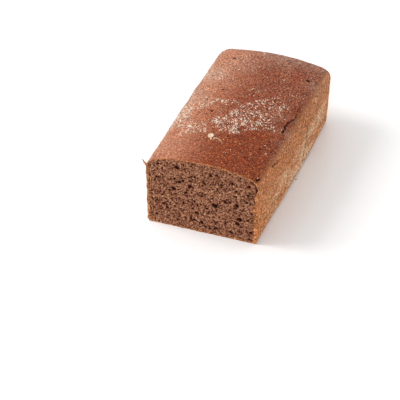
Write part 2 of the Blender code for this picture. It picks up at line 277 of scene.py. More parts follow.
class Nodes:
    """Adds nodes to one tree. Feeds map a socket's name or number to a value or another's output."""

    def __init__(self, tree):
        self.tree = tree

    def add(self, kind, feeds=None, **settings):
        made = self.tree.nodes.new(kind)
        count = len(self.tree.nodes)
        made.location = (220 * (count // 5), -190 * (count % 5))
        for name, value in settings.items():
            setattr(made, name, value)
        for socket, value in (feeds or {}).items():
            self.feed(made.inputs[socket], value)
        return made

    def feed(self, socket, value):
        if isinstance(value, bpy.types.NodeSocket):
            self.tree.links.new(value, socket)
        else:
            socket.default_value = value

    def math(self, operation, *values, clamp=False):
        made = self.add("ShaderNodeMath", dict(enumerate(values)), operation=operation, use_clamp=clamp)
        return made.outputs[0]

    def vector(self, operation, *values):
        return self.add("ShaderNodeVectorMath", dict(enumerate(values)), operation=operation).outputs[0]

    def scaled(self, vector, factor):
        made = self.add("ShaderNodeVectorMath", {0: vector, "Scale": factor}, operation="SCALE")
        return made.outputs[0]

    def thrice(self, value):
        """A vector that holds the value three times."""
        return self.add("ShaderNodeCombineXYZ", {k: value for k in range(3)}).outputs[0]

    def place(self):
        """A point's place on the piece, in millimetres."""
        if self.tree.type == "GEOMETRY":
            found = self.add("GeometryNodeInputPosition").outputs[0]
        else:
            found = self.add("ShaderNodeTexCoord").outputs["Object"]
        return self.scaled(found, 1 / MM)

    def kept_number(self, name):
        """A number kept on the shape's points, in Geometry Nodes."""
        return self.add("GeometryNodeInputNamedAttribute", {"Name": name}).outputs["Attribute"]

    def per(self, size):
        """One over a size, which is a number or a socket."""
        if isinstance(size, bpy.types.NodeSocket):
            return self.math("DIVIDE", 1.0, size)
        return 1 / size

    def ramp(self, value, low, high, first=0.0, last=1.0, smooth=True):
        """Value mapped from low..high to first..last, held at both ends."""
        feeds = {"Value": value, "From Min": low, "From Max": high, "To Min": first, "To Max": last}
        kind = "SMOOTHSTEP" if smooth else "LINEAR"
        return self.add("ShaderNodeMapRange", feeds, interpolation_type=kind).outputs["Result"]

    def noise(self, vector, size, detail=2.0, roughness=0.55):
        """Noise whose lumps are about this size in the vector's unit."""
        feeds = {"Vector": vector, "Scale": self.per(size), "Detail": detail, "Roughness": roughness}
        return self.add("ShaderNodeTexNoise", feeds).outputs["Fac"]

    def swirl(self, vector, scale, detail=2.0):
        """Noise that pushes a place about, by up to a half along each axis."""
        made = self.add("ShaderNodeTexNoise", {"Vector": vector, "Scale": scale, "Detail": detail})
        return self.vector("SUBTRACT", made.outputs["Color"], (0.5, 0.5, 0.5))

    def cells(self, vector, size):
        """Voronoi cells: the distance to a cell's middle as a share of its size, and random numbers."""
        made = self.add("ShaderNodeTexVoronoi", {"Vector": vector, "Scale": self.per(size)})
        parts = self.add("ShaderNodeSeparateXYZ", {0: made.outputs["Color"]})
        return made.outputs["Distance"], parts.outputs

    def mix(self, factor, first, last):
        """Two colours mixed."""
        return self.add("ShaderNodeMix", {0: factor, 6: first, 7: last}, data_type="RGBA").outputs[2]


def colour(numbers):
    return (*numbers, 1.0)


def group_tree(name, kind, inputs, outputs):
    """A node group with named inputs as (name, socket type, default), and its nodes."""
    tree = bpy.data.node_groups.new(name, kind)
    for label, socket_type, default in inputs:
        socket = tree.interface.new_socket(name=label, in_out="INPUT", socket_type=socket_type)
        if default is not None:
            socket.default_value = default
    for label, socket_type in outputs:
        tree.interface.new_socket(name=label, in_out="OUTPUT", socket_type=socket_type)
    nodes = Nodes(tree)
    return nodes, nodes.add("NodeGroupInput").outputs, nodes.add("NodeGroupOutput").inputs


FLOAT, INT = "NodeSocketFloat", "NodeSocketInt"
SHAPE, STUFF = "NodeSocketGeometry", "NodeSocketMaterial"


def shape_tree(name, inputs):
    """A Geometry Nodes tree that takes a shape and a material beside its own inputs."""
    inputs = [("Geometry", SHAPE, None), ("Material", STUFF, None), *inputs]
    return group_tree(name, "GeometryNodeTree", inputs, [("Geometry", SHAPE)])


def evaluated(made, tree, values):
    """The object with the tree's result as its plain mesh. Values are named as the tree's inputs."""
    modifier = made.modifiers.new(tree.name, "NODES")
    modifier.node_group = tree
    for item in tree.interface.items_tree:
        if item.item_type == "SOCKET" and item.in_out == "INPUT" and item.name in values:
            modifier[item.identifier] = values[item.name]
    graph = bpy.context.evaluated_depsgraph_get()
    data = bpy.data.meshes.new_from_object(made.evaluated_get(graph))
    made.modifiers.clear()
    made.data = data
    data.name = made.name
    return made


def placed(points):
    """Points of the loaf's own frame, in millimetres from the cut, as metres in the row's frame."""
    return (np.asarray(points, float) + (MIDDLE_AT, CUT_AT, 0)) * MM


def mesh_object(name, points, faces):
    data = bpy.data.meshes.new(name)
    data.from_pydata(placed(points).tolist(), [], faces)
    data.validate()
    made = bpy.data.objects.new(name, data)
    bpy.context.scene.collection.objects.link(made)
    return made


def keep_numbers(made, name, values):
    layer = made.data.attributes.new(name, "FLOAT", "POINT")
    layer.data.foreach_set("value", np.asarray(values, np.float32))


def finish_piece(made, replaces=True):
    made.data.shade_smooth()
    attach(made, BODY)
    if replaces:
        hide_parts(NODE)


# The loaf's form


def half_section(crown):
    """The right half of a section as (across, height) rows: base, wall, shoulder and dome."""
    base, shoulder = BASE_WIDTH / 2, SHOULDER_WIDTH / 2
    flat = base - BASE_RADIUS
    across = np.linspace(0, flat, BASE_STEPS + 1)
    bottom = np.column_stack([across, 0 * across])
    turn = np.linspace(0, math.pi / 2, BASE_CORNER_STEPS + 1)[1:]
    corner = np.column_stack([flat + BASE_RADIUS * np.sin(turn), BASE_RADIUS * (1 - np.cos(turn))])
    lean = (shoulder - base) / SHOULDER_HEIGHT
    wall_top = SHOULDER_HEIGHT - SHOULDER_RADIUS
    height = np.linspace(BASE_RADIUS, wall_top, WALL_STEPS + 1)[1:]
    wall = np.column_stack([base + lean * height, height])
    radius = (shoulder**2 + crown**2) / (2 * crown)
    centre = SHOULDER_HEIGHT + crown - radius
    start = math.asin((shoulder - SHOULDER_RADIUS) / radius)
    dome_end = np.array([radius * math.sin(start), centre + radius * math.cos(start)])
    t = np.linspace(0, 1, SHOULDER_STEPS + 1)[1:, None]
    corner_at = np.array([shoulder, SHOULDER_HEIGHT])
    bend = wall[-1] * (1 - t) ** 2 + corner_at * 2 * t * (1 - t) + dome_end * t**2
    turn = np.linspace(start, 0, DOME_STEPS + 1)[1:]
    dome = np.column_stack([radius * np.sin(turn), centre + radius * np.cos(turn)])
    return np.vstack([bottom, corner, wall, bend, dome])


def comes_in(along, radius):
    share = np.clip((along - (LENGTH - radius)) / radius, 0, 1)
    return radius * (1 - np.sqrt(1 - share**2))


def ring_at(along):
    """A closed ring of the skin at this distance from the cut."""
    crown = CROWN_AT_CUT + (CROWN_AT_END - CROWN_AT_CUT) * along / LENGTH
    half = half_section(crown)
    whole = np.vstack([half, half[-2:0:-1] * (-1, 1)])
    half_width = SHOULDER_WIDTH / 2
    height = SHOULDER_HEIGHT + crown
    foot = comes_in(along, END_BASE_RADIUS)
    kept = height - foot - comes_in(along, END_TOP_RADIUS)
    drawn_in = FOOT_DRAWN_IN * (1 - math.exp(-along / FOOT_DRAW_LENGTH))
    drawn_in = drawn_in * np.clip(1 - whole[:, 1] / (SHOULDER_HEIGHT - SHOULDER_RADIUS), 0, 1)
    right = whole[:, 0] > 0
    bow = np.where(right, RIGHT_BOW, LEFT_BOW) * math.sin(math.pi * along / LENGTH)
    bow -= np.where(right, drawn_in, 0)
    corner = np.where(right, comes_in(along, RIGHT_CORNER_RADIUS), comes_in(along, LEFT_CORNER_RADIUS))
    narrowed = 1 - corner / half_width
    across = whole[:, 0] * narrowed + whole[:, 0] / half_width * bow
    up = foot + whole[:, 1] * kept / height
    lean = END_LEAN * up / SHOULDER_HEIGHT * along / LENGTH
    return np.column_stack([across, along + lean, up])


def ring_distances():
    straight = LENGTH - END_TOP_RADIUS
    even = np.linspace(0, straight, STRAIGHT_RINGS, endpoint=False)
    rounding = straight + END_TOP_RADIUS * np.sin(np.linspace(0, math.pi / 2, END_RINGS + 1))
    return np.concatenate([even, rounding])


def outward(rings):
    """Unit normals of rings of points, rows along the loaf and columns round it."""
    round_it = np.roll(rings, -1, axis=1) - np.roll(rings, 1, axis=1)
    along_it = np.gradient(rings, axis=0)
    along_it[-1] = along_it[-2]
    found = np.cross(along_it, round_it)
    return found / np.maximum(np.linalg.norm(found, axis=2, keepdims=True), 1e-9)


def swell_at(points):
    """How far the oven moved the skin at each point, in millimetres."""
    found = [
        SWELL * noise.noise(Vector(p) / SWELL_LENGTH) + RIPPLE * noise.noise(Vector(p) / RIPPLE_LENGTH)
        for p in points.reshape(-1, 3)
    ]
    return np.array(found).reshape(points.shape[:-1])


def skin_rings(distances):
    """The outer skin's rings at these distances, swollen as the solid is, and their normals before that."""
    rings = np.array([ring_at(along) for along in distances])
    normals = outward(rings)
    move = normals * (swell_at(rings) * np.minimum(rings[..., 2] / BASE_RADIUS, 1))[..., None]
    move[0, :, 1] = 0
    return rings + move, normals


def inset_ring(ring, distance, along):
    """A ring moved inwards in the plane of the cut."""
    tangent = np.roll(ring, -1, axis=0) - np.roll(ring, 1, axis=0)
    normal = np.column_stack([tangent[:, 2], -tangent[:, 0]])
    normal /= np.linalg.norm(normal, axis=1, keepdims=True)
    moved = ring.copy()
    moved[:, [0, 2]] -= normal * distance
    moved[:, 1] = along
    return moved


def sheet_faces(rows, columns):
    """Quads of rows of points that close round on themselves, facing outwards."""
    near = np.arange(rows - 1)[:, None] * columns
    k = np.arange(columns)[None, :]
    after = (k + 1) % columns
    quads = np.stack([near + k, near + columns + k, near + columns + after, near + after], axis=-1)
    return quads.reshape(-1, 4).tolist()


def fan(ring_start, columns, tip, outwards):
    """Triangles from a ring to its tip."""
    pairs = [(ring_start + k, ring_start + (k + 1) % columns) for k in range(columns)]
    return [(a, tip, b) if outwards else (b, tip, a) for a, b in pairs]


# Distances on the skin


def to_route(points, route):
    """The distance from each point to a route, and how far along it the nearest place is, 0 to 1."""
    best = np.full(len(points), np.inf)
    share = np.zeros(len(points))
    steps = len(route) - 1
    for k, (start, end) in enumerate(zip(route, route[1:])):
        line = end - start
        t = np.clip((points - start) @ line / (line @ line), 0, 1)
        gap = np.linalg.norm(points - start - t[:, None] * line, axis=1)
        closer = gap < best
        best[closer] = gap[closer]
        share[closer] = (k + t[closer]) / steps
    return best, share


def wandering(route, draw, step=1.6, swing=0.45):
    """The route with more points in it, each pushed aside a little."""
    found = []
    for start, end in zip(route, route[1:]):
        count = max(1, round(float(np.linalg.norm(end - start)) / step))
        found += [start + (end - start) * k / count + draw.normal(0, swing, 3) for k in range(count)]
    return np.array([*found, route[-1]])


class Skin:
    """Finds places on the outer skin, from its rings."""

    def __init__(self, rings):
        rows, columns, _ = rings.shape
        self.tree = BVHTree.FromPolygons(rings.reshape(-1, 3).tolist(), sheet_faces(rows, columns))

    def from_above(self, across, along):
        return self.tree.ray_cast(Vector((across, along, 200)), Vector((0, 0, -1)))[:2]

    def from_side(self, side, along, height):
        return self.tree.ray_cast(Vector((side * 200, along, height)), Vector((-side, 0, 0)))[:2]


def crust_marks(skin, draw):
    """Splits and tin creases as (route, half width, depth, share lost), and pits as (place, radius)."""
    above = [np.array(skin.from_above(*spot)[0]) for spot in SHOULDER_SPLIT]
    beside = [np.array(skin.from_side(1, *spot)[0]) for spot in WALL_SPLIT]
    corner = [np.array(skin.from_above(*spot)[0]) for spot in CORNER_TEAR]
    splits = [
        (wandering(above, draw, swing=0.35), 1.05, 2.8, 0.95),
        (wandering(beside, draw, swing=0.3), 0.7, 2.0, 0.9),
        (wandering(corner, draw, swing=0.15), 0.95, 2.6, 0.3),
    ]
    creases = []
    for side, depth, places in CREASES:
        route = [np.array(skin.from_side(side, *spot)[0]) for spot in places]
        route = wandering(route, draw, step=3, swing=0.4)
        creases.append((route, CREASE_HALF_WIDTH, depth, CREASE_LOST))
    pits = [(np.array(skin.from_above(x, y)[0]), PIT_RADIUS_SHARE * width) for x, y, width in CRUST_PITS]
    return splits, creases, pits


def near_marks(points, grooves, pits):
    """The distance from each point to the nearest groove or pit's rim."""
    found = np.full(len(points), np.inf)
    for route, _, _, _ in grooves:
        found = np.minimum(found, to_route(points, route)[0])
    for place, radius in pits:
        found = np.minimum(found, np.linalg.norm(points - place, axis=1) - radius)
    return found


def mark_depth(points, grooves, pits):
    """How deep each point lies in a groove or pit, in millimetres."""
    depth = np.zeros(len(points))
    for route, half_width, deepest, lost in grooves:
        gap, share = to_route(points, route)
        ends = np.minimum(1, 8 * np.minimum(share, 1 - share) + 0.1)
        uneven = 0.8 + 0.3 * np.sin(37 * share) + 0.25 * np.sin(83 * share + 1)
        thinned = uneven * (1 - 0.6 * lost * share)
        fading = 1 - lost * share * (0.75 + 0.5 * np.sin(61 * share))
        depth = np.maximum(depth, deepest * ends * fading * np.exp(-((gap / half_width / thinned) ** 2)))
    for place, radius in pits:
        gap = np.linalg.norm(points - place, axis=1) / radius
        depth = np.maximum(depth, 1.3 * radius * np.clip(1 - gap**3, 0, 1))
    return depth


def rises(value, low, high):
    """0 below the first limit, 1 above the second, smooth between them."""
    share = np.clip((value - low) / (high - low), 0, 1)
    return share * share * (3 - 2 * share)


def band(value, low, high, soft):
    """1 between two limits, falling to 0 over a soft width at each."""
    half = soft / 2
    return rises(value, low - half, low + half) * (1 - rises(value, high - half, high + half))


def lumps(points, *sizes):
    """Smooth noise from about -1 to 1 at each point, with lumps of these sizes along the three axes."""
    return np.array([noise.noise(Vector(p)) for p in points / sizes])


def steady_swirl(place):
    """Smooth noise along each axis at one place, the same in every run."""
    return Vector([noise.noise(place + Vector((0, 0, shift))) for shift in (0.0, 31.7, 57.3)])


def cream_at(points, up):
    """Where the lower half of the tin walls is creamy, 0 to 1, in patches along the loaf."""
    middle = rises(points[:, 2], -2, 6) * (1 - rises(points[:, 2], 24, 44)) * (1 - rises(up, 0.2, 0.6))
    along = points[:, 1]
    patches = 0.45 + 1.3 * lumps(points, 30, 22, 9) + 0.8 * lumps(points, 7, 7, 4)
    patches += 0.35 * rises(along, 80, 125)
    return middle * np.clip(patches, 0, 1) * rises(along, 5, 60) * (1 - 0.8 * rises(along, 160, 186))


def haze_at(points, up):
    """Where a film of fine flour lies, 0 to 1; on the left shoulder it is partly a painted sheen."""
    found = 0.05 * rises(up, 0.5, 0.9) * rises(points[:, 1], 60, 150)
    # The left shoulder's film is partly a painted sheen where the key light grazes
    found += 0.14 * rises(up, 0.2, 0.5) * rises(-points[:, 0], 12, 46) * rises(points[:, 1], 20, 90)
    for *place, radius, amount in HAZE:
        gap = ((points - place) ** 2).sum(axis=1) / radius**2
        found = np.maximum(found, amount * np.exp(-gap))
    return found


def flour_at(points, up):
    """How floured each point is, 0 to 1: an uneven band over the dome, and a little beyond it."""
    across = points[:, 0]
    along = points[:, 1] + 6 * lumps(points, 11, 11, 11) + 3.5 * lumps(points, 4, 4, 4)

    def out_of(x, y, half_width, half_length):
        return ((across - x) / half_width) ** 2 + ((along - y) / half_length) ** 2

    near = np.interp(across, *np.array(FLOUR_NEAR).T)
    far = np.interp(across, *np.array(FLOUR_FAR).T)
    found = 0.42 * band(along, near, far, 8)
    for *patch, amount in FLOUR_CLUMPS:
        found += amount * np.exp(-out_of(*patch))
    for *patch, amount in FLOUR_BARE:
        found *= 1 - amount * np.exp(-(out_of(*patch) ** 2))
    found *= 1 - 0.3 * rises(across, 10, 24) - 0.55 * rises(across, 34, 47)
    beyond = 0.19 * rises(along, 95, 120) * (1 + 0.8 * lumps(points, 14, 14, 14))
    found = np.maximum(found, beyond)
    return np.clip(found, 0, 1) * rises(up, 0.45, 0.85)


# Finishes


def grain_group():
    """Fine grain: a mask of small lumps, and a height for bump, shared by crust, crumb, flake and crumbs."""
    nodes, given, out = group_tree(
        "Fine grain",
        "ShaderNodeTree",
        [("Size", FLOAT, 0.5), ("Contrast", FLOAT, 1.0)],
        [("Mask", FLOAT), ("Height", FLOAT)],
    )
    place = nodes.vector("DIVIDE", nodes.place(), nodes.thrice(given["Size"]))
    grain = nodes.noise(place, 1.0, detail=3.0, roughness=0.6)
    centred = nodes.math("SUBTRACT", grain, 0.5)
    nodes.feed(out["Mask"], nodes.math("MULTIPLY_ADD", centred, given["Contrast"], 0.5, clamp=True))
    nodes.feed(out["Height"], grain)
    return nodes.tree


def mottle_group():
    """Blotches of two sizes between 0 and 1, shared by crust and crumb."""
    nodes, given, out = group_tree(
        "Mottle",
        "ShaderNodeTree",
        [("Large", FLOAT, 20.0), ("Small", FLOAT, 4.0), ("Contrast", FLOAT, 2.0), ("Shift", FLOAT, 0.0)],
        [("Mask", FLOAT)],
    )
    shift = nodes.add("ShaderNodeCombineXYZ", {0: given["Shift"]}).outputs[0]
    place = nodes.vector("ADD", nodes.place(), shift)
    sums = 0.0
    for label, share in (("Large", 0.55), ("Small", 0.45)):
        blotches = nodes.noise(nodes.vector("DIVIDE", place, nodes.thrice(given[label])), 1.0)
        sums = nodes.math("MULTIPLY_ADD", blotches, share, sums)
    centred = nodes.math("SUBTRACT", sums, 0.5)
    nodes.feed(out["Mask"], nodes.math("MULTIPLY_ADD", centred, given["Contrast"], 0.5, clamp=True))
    return nodes.tree


def specks_group():
    """Scattered dots: 1 at a dot and 0 between them. Share is how many cells hold one."""
    nodes, given, out = group_tree(
        "Specks",
        "ShaderNodeTree",
        [("Size", FLOAT, 1.5), ("Share", FLOAT, 0.4), ("Radius", FLOAT, 0.3), ("Shift", FLOAT, 0.0)],
        [("Mask", FLOAT)],
    )
    shift = nodes.add("ShaderNodeCombineXYZ", {0: given["Shift"]}).outputs[0]
    place = nodes.vector("ADD", nodes.place(), shift)
    place = nodes.vector("DIVIDE", place, nodes.thrice(given["Size"]))
    wander = nodes.add("ShaderNodeTexNoise", {"Vector": place, "Scale": 2.0}).outputs["Color"]
    place = nodes.vector("ADD", place, nodes.scaled(wander, 0.35))
    gap, draw = nodes.cells(place, 1.0)
    dot = nodes.math("SUBTRACT", 1.0, nodes.math("DIVIDE", gap, given["Radius"]), clamp=True)
    kept = nodes.math("LESS_THAN", draw[0], given["Share"])
    nodes.feed(out["Mask"], nodes.math("MULTIPLY", nodes.math("MULTIPLY", dot, 1.6, clamp=True), kept))
    return nodes.tree


class Finish:
    """A material's nodes, with the loaf's shared effects at hand."""

    def __init__(self, name):
        self.material = bpy.data.materials.new(name)
        self.material.use_nodes = True
        self.nodes = Nodes(self.material.node_tree)
        self.shader = self.material.node_tree.nodes["Principled BSDF"]
        self.place = self.nodes.place()

    def effect(self, tree, **values):
        made = self.nodes.add("ShaderNodeGroup", node_tree=bpy.data.node_groups[tree])
        for name, value in values.items():
            self.nodes.feed(made.inputs[name], value)
        return made.outputs

    def number(self, name):
        return self.nodes.add("ShaderNodeAttribute", attribute_name=name).outputs["Fac"]

    def lay(self, base, tint, *masks):
        """The base under a colour, which shows as much as the product of the masks says."""
        shown, *others = masks
        for mask in others:
            shown = self.nodes.math("MULTIPLY", shown, mask)
        return self.nodes.mix(shown, base, colour(tint))

    def bump(self, height, strength, distance):
        feeds = {"Height": height, "Strength": strength, "Distance": distance}
        made = self.nodes.add("ShaderNodeBump", feeds)
        self.nodes.feed(self.shader.inputs["Normal"], made.outputs[0])

    def set(self, **values):
        for name, value in values.items():
            self.nodes.feed(self.shader.inputs[name.replace("_", " ")], value)


def baked_skin(finish, looks, brown, left):
    """The bare skin: red-brown on the dome, lighter towards its left shoulder (partly paler crust, partly a
    painted highlight where the key light falls), tan with creamy patches on the tin walls.
    """
    nodes = finish.nodes
    mottle = finish.effect("Mottle", Large=22.0, Small=4.0, Contrast=1.7)["Mask"]
    dome = nodes.mix(mottle, colour(looks.dome_dark), colour(looks.dome_light))
    # Towards the left shoulder: partly paler crust, partly a painted highlight where the key light falls
    dome = finish.lay(dome, looks.dome_left_paler_and_lit, left)
    blotch = finish.effect("Mottle", Large=13.0, Small=4.0, Contrast=2.6, Shift=40.0)["Mask"]
    wall = nodes.mix(blotch, colour(looks.wall_brown), colour(looks.wall_tan))
    wall = finish.lay(wall, looks.wall_pale, finish.number("cream"), 0.75)
    edge = nodes.math("MULTIPLY_ADD", nodes.math("SUBTRACT", blotch, 0.5), 0.22, brown)
    return nodes.mix(nodes.ramp(edge, 0.05, 0.95, smooth=False), wall, dome)


def flour_film(finish, looks, base):
    """A broken film of fine flour over the base, partly a painted sheen on the left shoulder."""
    nodes = finish.nodes
    place = nodes.vector("MULTIPLY", finish.place, (1.0, 0.5, 1.0))
    film = nodes.ramp(nodes.noise(place, 3.2, detail=4.0, roughness=0.65), 0.34, 0.62, 0.5, 1.0)
    return finish.lay(base, looks.flour_haze_and_sheen, finish.number("flour_haze_and_sheen"), film)


def wall_dots(finish, looks, base, walls, left):
    """Pale and dark dots of the tin walls over the base, fewer on the left."""
    nodes = finish.nodes
    dots = nodes.math("MULTIPLY", walls, nodes.math("MULTIPLY_ADD", left, -0.45, 1.0))
    light = finish.effect("Specks", Size=2.7, Share=0.5, Radius=0.36, Shift=23.0)["Mask"]
    base = finish.lay(base, looks.wall_pale, light, dots, 0.5)
    dark = finish.effect("Specks", Size=2.9, Share=0.5, Radius=0.33, Shift=71.0)["Mask"]
    return finish.lay(base, looks.crust_dark_and_pit_shade, dark, dots, 0.65)


def torn_edge(finish, looks, base):
    """Orange and brown crust where it is cut."""
    torn = finish.effect("Mottle", Large=4.0, Small=1.7, Contrast=4.0, Shift=55.0)["Mask"]
    torn = finish.nodes.mix(torn, colour(looks.rim_brown), colour(looks.rim_orange))
    return finish.nodes.mix(finish.number("rim"), base, torn)


def fine_dots(finish, looks, base, flour, calm):
    """Pale dots on the pimples as painted glints, dark dots and pits (partly dark crust, partly painted
    shade), and dust between the flour's grains.
    """
    nodes = finish.nodes
    # Pale dots and pimple tops: painted glints
    pale = finish.effect("Specks", Size=1.6, Share=0.5, Radius=0.4)["Mask"]
    pale = nodes.math("MAXIMUM", pale, nodes.math("MULTIPLY", finish.number("crest_glint"), 0.9))
    base = finish.lay(base, looks.pale_glint, pale, 0.55)
    # Dark dots: partly dark crust, partly painted shade of small pits; pits get painted shade
    dark = finish.effect("Specks", Size=1.8, Share=0.5, Radius=0.42, Shift=17.0)["Mask"]
    dark = nodes.math("MAXIMUM", dark, finish.number("pit"))
    # Stronger where floured: painted shade between the flour grains
    amount = nodes.math("MULTIPLY_ADD", flour, 0.9, 0.6)
    base = finish.lay(base, looks.crust_dark_and_pit_shade, dark, nodes.math("SUBTRACT", amount, calm, clamp=True))
    dust = nodes.ramp(nodes.noise(finish.place, 1.2, detail=2.0, roughness=0.6), 0.52, 0.66)
    return finish.lay(base, looks.flour_dust, dust, nodes.ramp(flour, 0.02, 0.3, 0.0, 0.45))


def crust_finish(looks):
    """Red-brown dome, tan tin walls, orange cut edge, flour dust (partly a painted sheen on the left
    shoulder), and splits, creases and pits painted dark as painted shade.
    """
    finish = Finish("rye crust")
    nodes = finish.nodes
    brown, left, flour = (finish.number(name) for name in ("brown", "left", "flour"))
    walls = nodes.ramp(brown, 0.0, 0.7, 1.0, 0.0)
    calm = nodes.math("MULTIPLY_ADD", left, 0.35, nodes.math("MULTIPLY", walls, 0.2))
    base = baked_skin(finish, looks, brown, left)
    base = flour_film(finish, looks, base)
    base = wall_dots(finish, looks, base, walls, left)
    base = torn_edge(finish, looks, base)
    base = fine_dots(finish, looks, base, flour, calm)
    # Painted shade in splits, creases and pits, as strong as the split number says
    base = finish.lay(base, looks.groove_shade, finish.number("split"), 0.9)
    grain = finish.effect("Fine grain", Size=nodes.math("MULTIPLY_ADD", walls, 0.5, 1.25), Contrast=5.0)
    swing = nodes.math("MULTIPLY_ADD", calm, -0.6, 1.2)
    shade = nodes.math("MULTIPLY_ADD", nodes.math("SUBTRACT", grain["Mask"], 0.5), swing, 1.0)
    base = nodes.vector("MULTIPLY", base, nodes.thrice(shade))
    finish.set(Base_Color=base, Roughness=nodes.ramp(brown, 0.0, 1.0, 0.8, 0.55), Specular_IOR_Level=0.12)
    finish.bump(grain["Height"], 0.7, 0.5 * MM)
    return finish.material


def crumb_finish(looks):
    """Brown crumb with tan and dark grain in it: pore walls painted lighter as a painted highlight, hollows
    and pore floors painted darker as painted shade.
    """
    finish = Finish("rye crumb")
    nodes = finish.nodes
    depth, line = finish.number("depth"), finish.number("ridge")
    mottle = finish.effect("Mottle", Large=6.0, Small=1.1, Contrast=1.2)["Mask"]
    base = nodes.mix(mottle, colour(looks.crumb_dark), colour(looks.crumb_light))
    fine = nodes.ramp(nodes.noise(finish.place, 1.0, roughness=0.5), 0.42, 0.58, 0.3, 1.0)
    # Ridge tops painted lighter: a painted highlight on the raised pore walls
    base = finish.lay(base, looks.ridge_highlight_and_bran, line, fine, nodes.ramp(depth, 0.1, 0.55, 1.0, 0.0))
    tan = finish.effect("Specks", Size=3.4, Share=0.3, Radius=0.3, Shift=5.0)["Mask"]
    base = finish.lay(base, looks.bran, tan, 0.7)
    # Painted shade: darker in the hollows and darkest on the pore floors, by depth
    base = finish.lay(base, looks.crumb_hollow_shade, nodes.ramp(depth, 0.05, 0.7, 0.0, 0.6))
    base = finish.lay(base, looks.pore_floor_shade, nodes.ramp(depth, 0.45, 1.0, 0.0, 0.95))
    grain = finish.effect("Fine grain", Size=0.6, Contrast=1.6)
    finish.set(Base_Color=base, Roughness=0.8, Specular_IOR_Level=0.1)
    finish.bump(grain["Height"], 0.6, 0.3 * MM)
    return finish.material


def flour_finish(looks):
    """White flour with browner grains in it."""
    finish = Finish("rye flour")
    mottle = finish.effect("Mottle", Large=3.0, Small=0.8, Contrast=2.5)["Mask"]
    base = finish.nodes.mix(mottle, colour(looks.flour_shade), colour(looks.flour))
    finish.set(Base_Color=base, Roughness=0.95, Specular_IOR_Level=0.2)
    return finish.material


def bran_finish(name, dark, light):
    """Bran or oat, browner in blotches."""
    finish = Finish(name)
    nodes = finish.nodes
    mottle = finish.effect("Mottle", Large=2.5, Small=0.9, Contrast=3.0, Shift=9.0)["Mask"]
    base = nodes.mix(mottle, colour(dark), colour(light))
    grain = finish.effect("Fine grain", Size=0.4, Contrast=1.5)
    finish.set(Base_Color=base, Roughness=0.8, Specular_IOR_Level=0.3)
    finish.bump(grain["Height"], 0.5, 0.2 * MM)
    return finish.material


# Geometry Nodes trees


def ended(nodes, given, out, shape, kept, move):
    """Ends a tree: keeps numbers on the shape's points, moves them and sets the material."""
    for name, value in kept.items():
        feeds = {"Geometry": shape, "Name": name, "Value": value}
        shape = nodes.add("GeometryNodeStoreNamedAttribute", feeds).outputs[0]
    moved = nodes.add("GeometryNodeSetPosition", {"Geometry": shape, "Offset": move})
    real = nodes.add("GeometryNodeRealizeInstances", {0: moved.outputs[0]})
    done = nodes.add("GeometryNodeSetMaterial", {"Geometry": real.outputs[0], "Material": given["Material"]})
    nodes.feed(out["Geometry"], done.outputs[0])
    return nodes.tree


def crust_relief_tree():
    """Moves the skin along its normals: pimples and grain all over, coarser grain on the tin walls."""
    nodes, given, out = shape_tree(
        "Crust relief",
        [
            ("Pimple Size", FLOAT, 2.1),
            ("Pimple Height", FLOAT, 0.2),
            ("Grain Size", FLOAT, 1.0),
            ("Grain Height", FLOAT, 0.45),
            ("Wall Height", FLOAT, 1.0),
            ("Pit Size", FLOAT, 4.2),
            ("Pit Depth", FLOAT, 0.5),
        ],
    )
    place = nodes.place()
    loose = nodes.kept_number("loose")
    wall = nodes.math("SUBTRACT", 1.0, nodes.kept_number("brown"), clamp=True)

    def bumps(size, radius, share):
        gap, draw = nodes.cells(place, size)
        kept = nodes.math("MULTIPLY", nodes.math("LESS_THAN", draw[0], share), draw[1])
        return nodes.math("MULTIPLY", nodes.ramp(gap, radius, 0.0), kept)

    grain = nodes.math("SUBTRACT", nodes.noise(place, given["Grain Size"], roughness=0.5), 0.5)
    height = nodes.math("MULTIPLY", grain, given["Grain Height"])
    pimples = bumps(given["Pimple Size"], 0.5, 0.8)
    height = nodes.math("MULTIPLY_ADD", pimples, given["Pimple Height"], height)
    rough = nodes.math("SUBTRACT", nodes.noise(place, 2.4, detail=3.0), 0.5)
    rough = nodes.math("MULTIPLY", nodes.math("MULTIPLY", rough, wall), given["Wall Height"])
    height = nodes.math("ADD", height, rough)
    pits = nodes.math("MULTIPLY", bumps(given["Pit Size"], 0.3, 0.5), nodes.ramp(wall, 0.0, 0.6, 0.35, 1.0))
    pits = nodes.math("MULTIPLY", pits, loose)
    sunk = nodes.math("MULTIPLY", pits, given["Pit Depth"])
    height = nodes.math("MULTIPLY", nodes.math("SUBTRACT", height, sunk), loose)
    normal = nodes.add("GeometryNodeInputNormal").outputs[0]
    move = nodes.scaled(normal, nodes.math("MULTIPLY", height, MM))
    # crest_glint marks pimple tops that the finish paints lighter as a painted glint; pit marks pits that it
    # paints darker as painted shade
    kept = {"pit": pits, "crest_glint": nodes.math("MULTIPLY", pimples, loose)}
    return ended(nodes, given, out, given["Geometry"], kept, move)


# Layers of bubbles in the crumb: cell size, least and largest radius as shares of it, share kept
BUBBLES = (
    (1.7, 0.25, 0.54, 0.6),
    (3.0, 0.16, 0.42, 0.5),
    (5.4, 0.12, 0.32, 0.45),
)


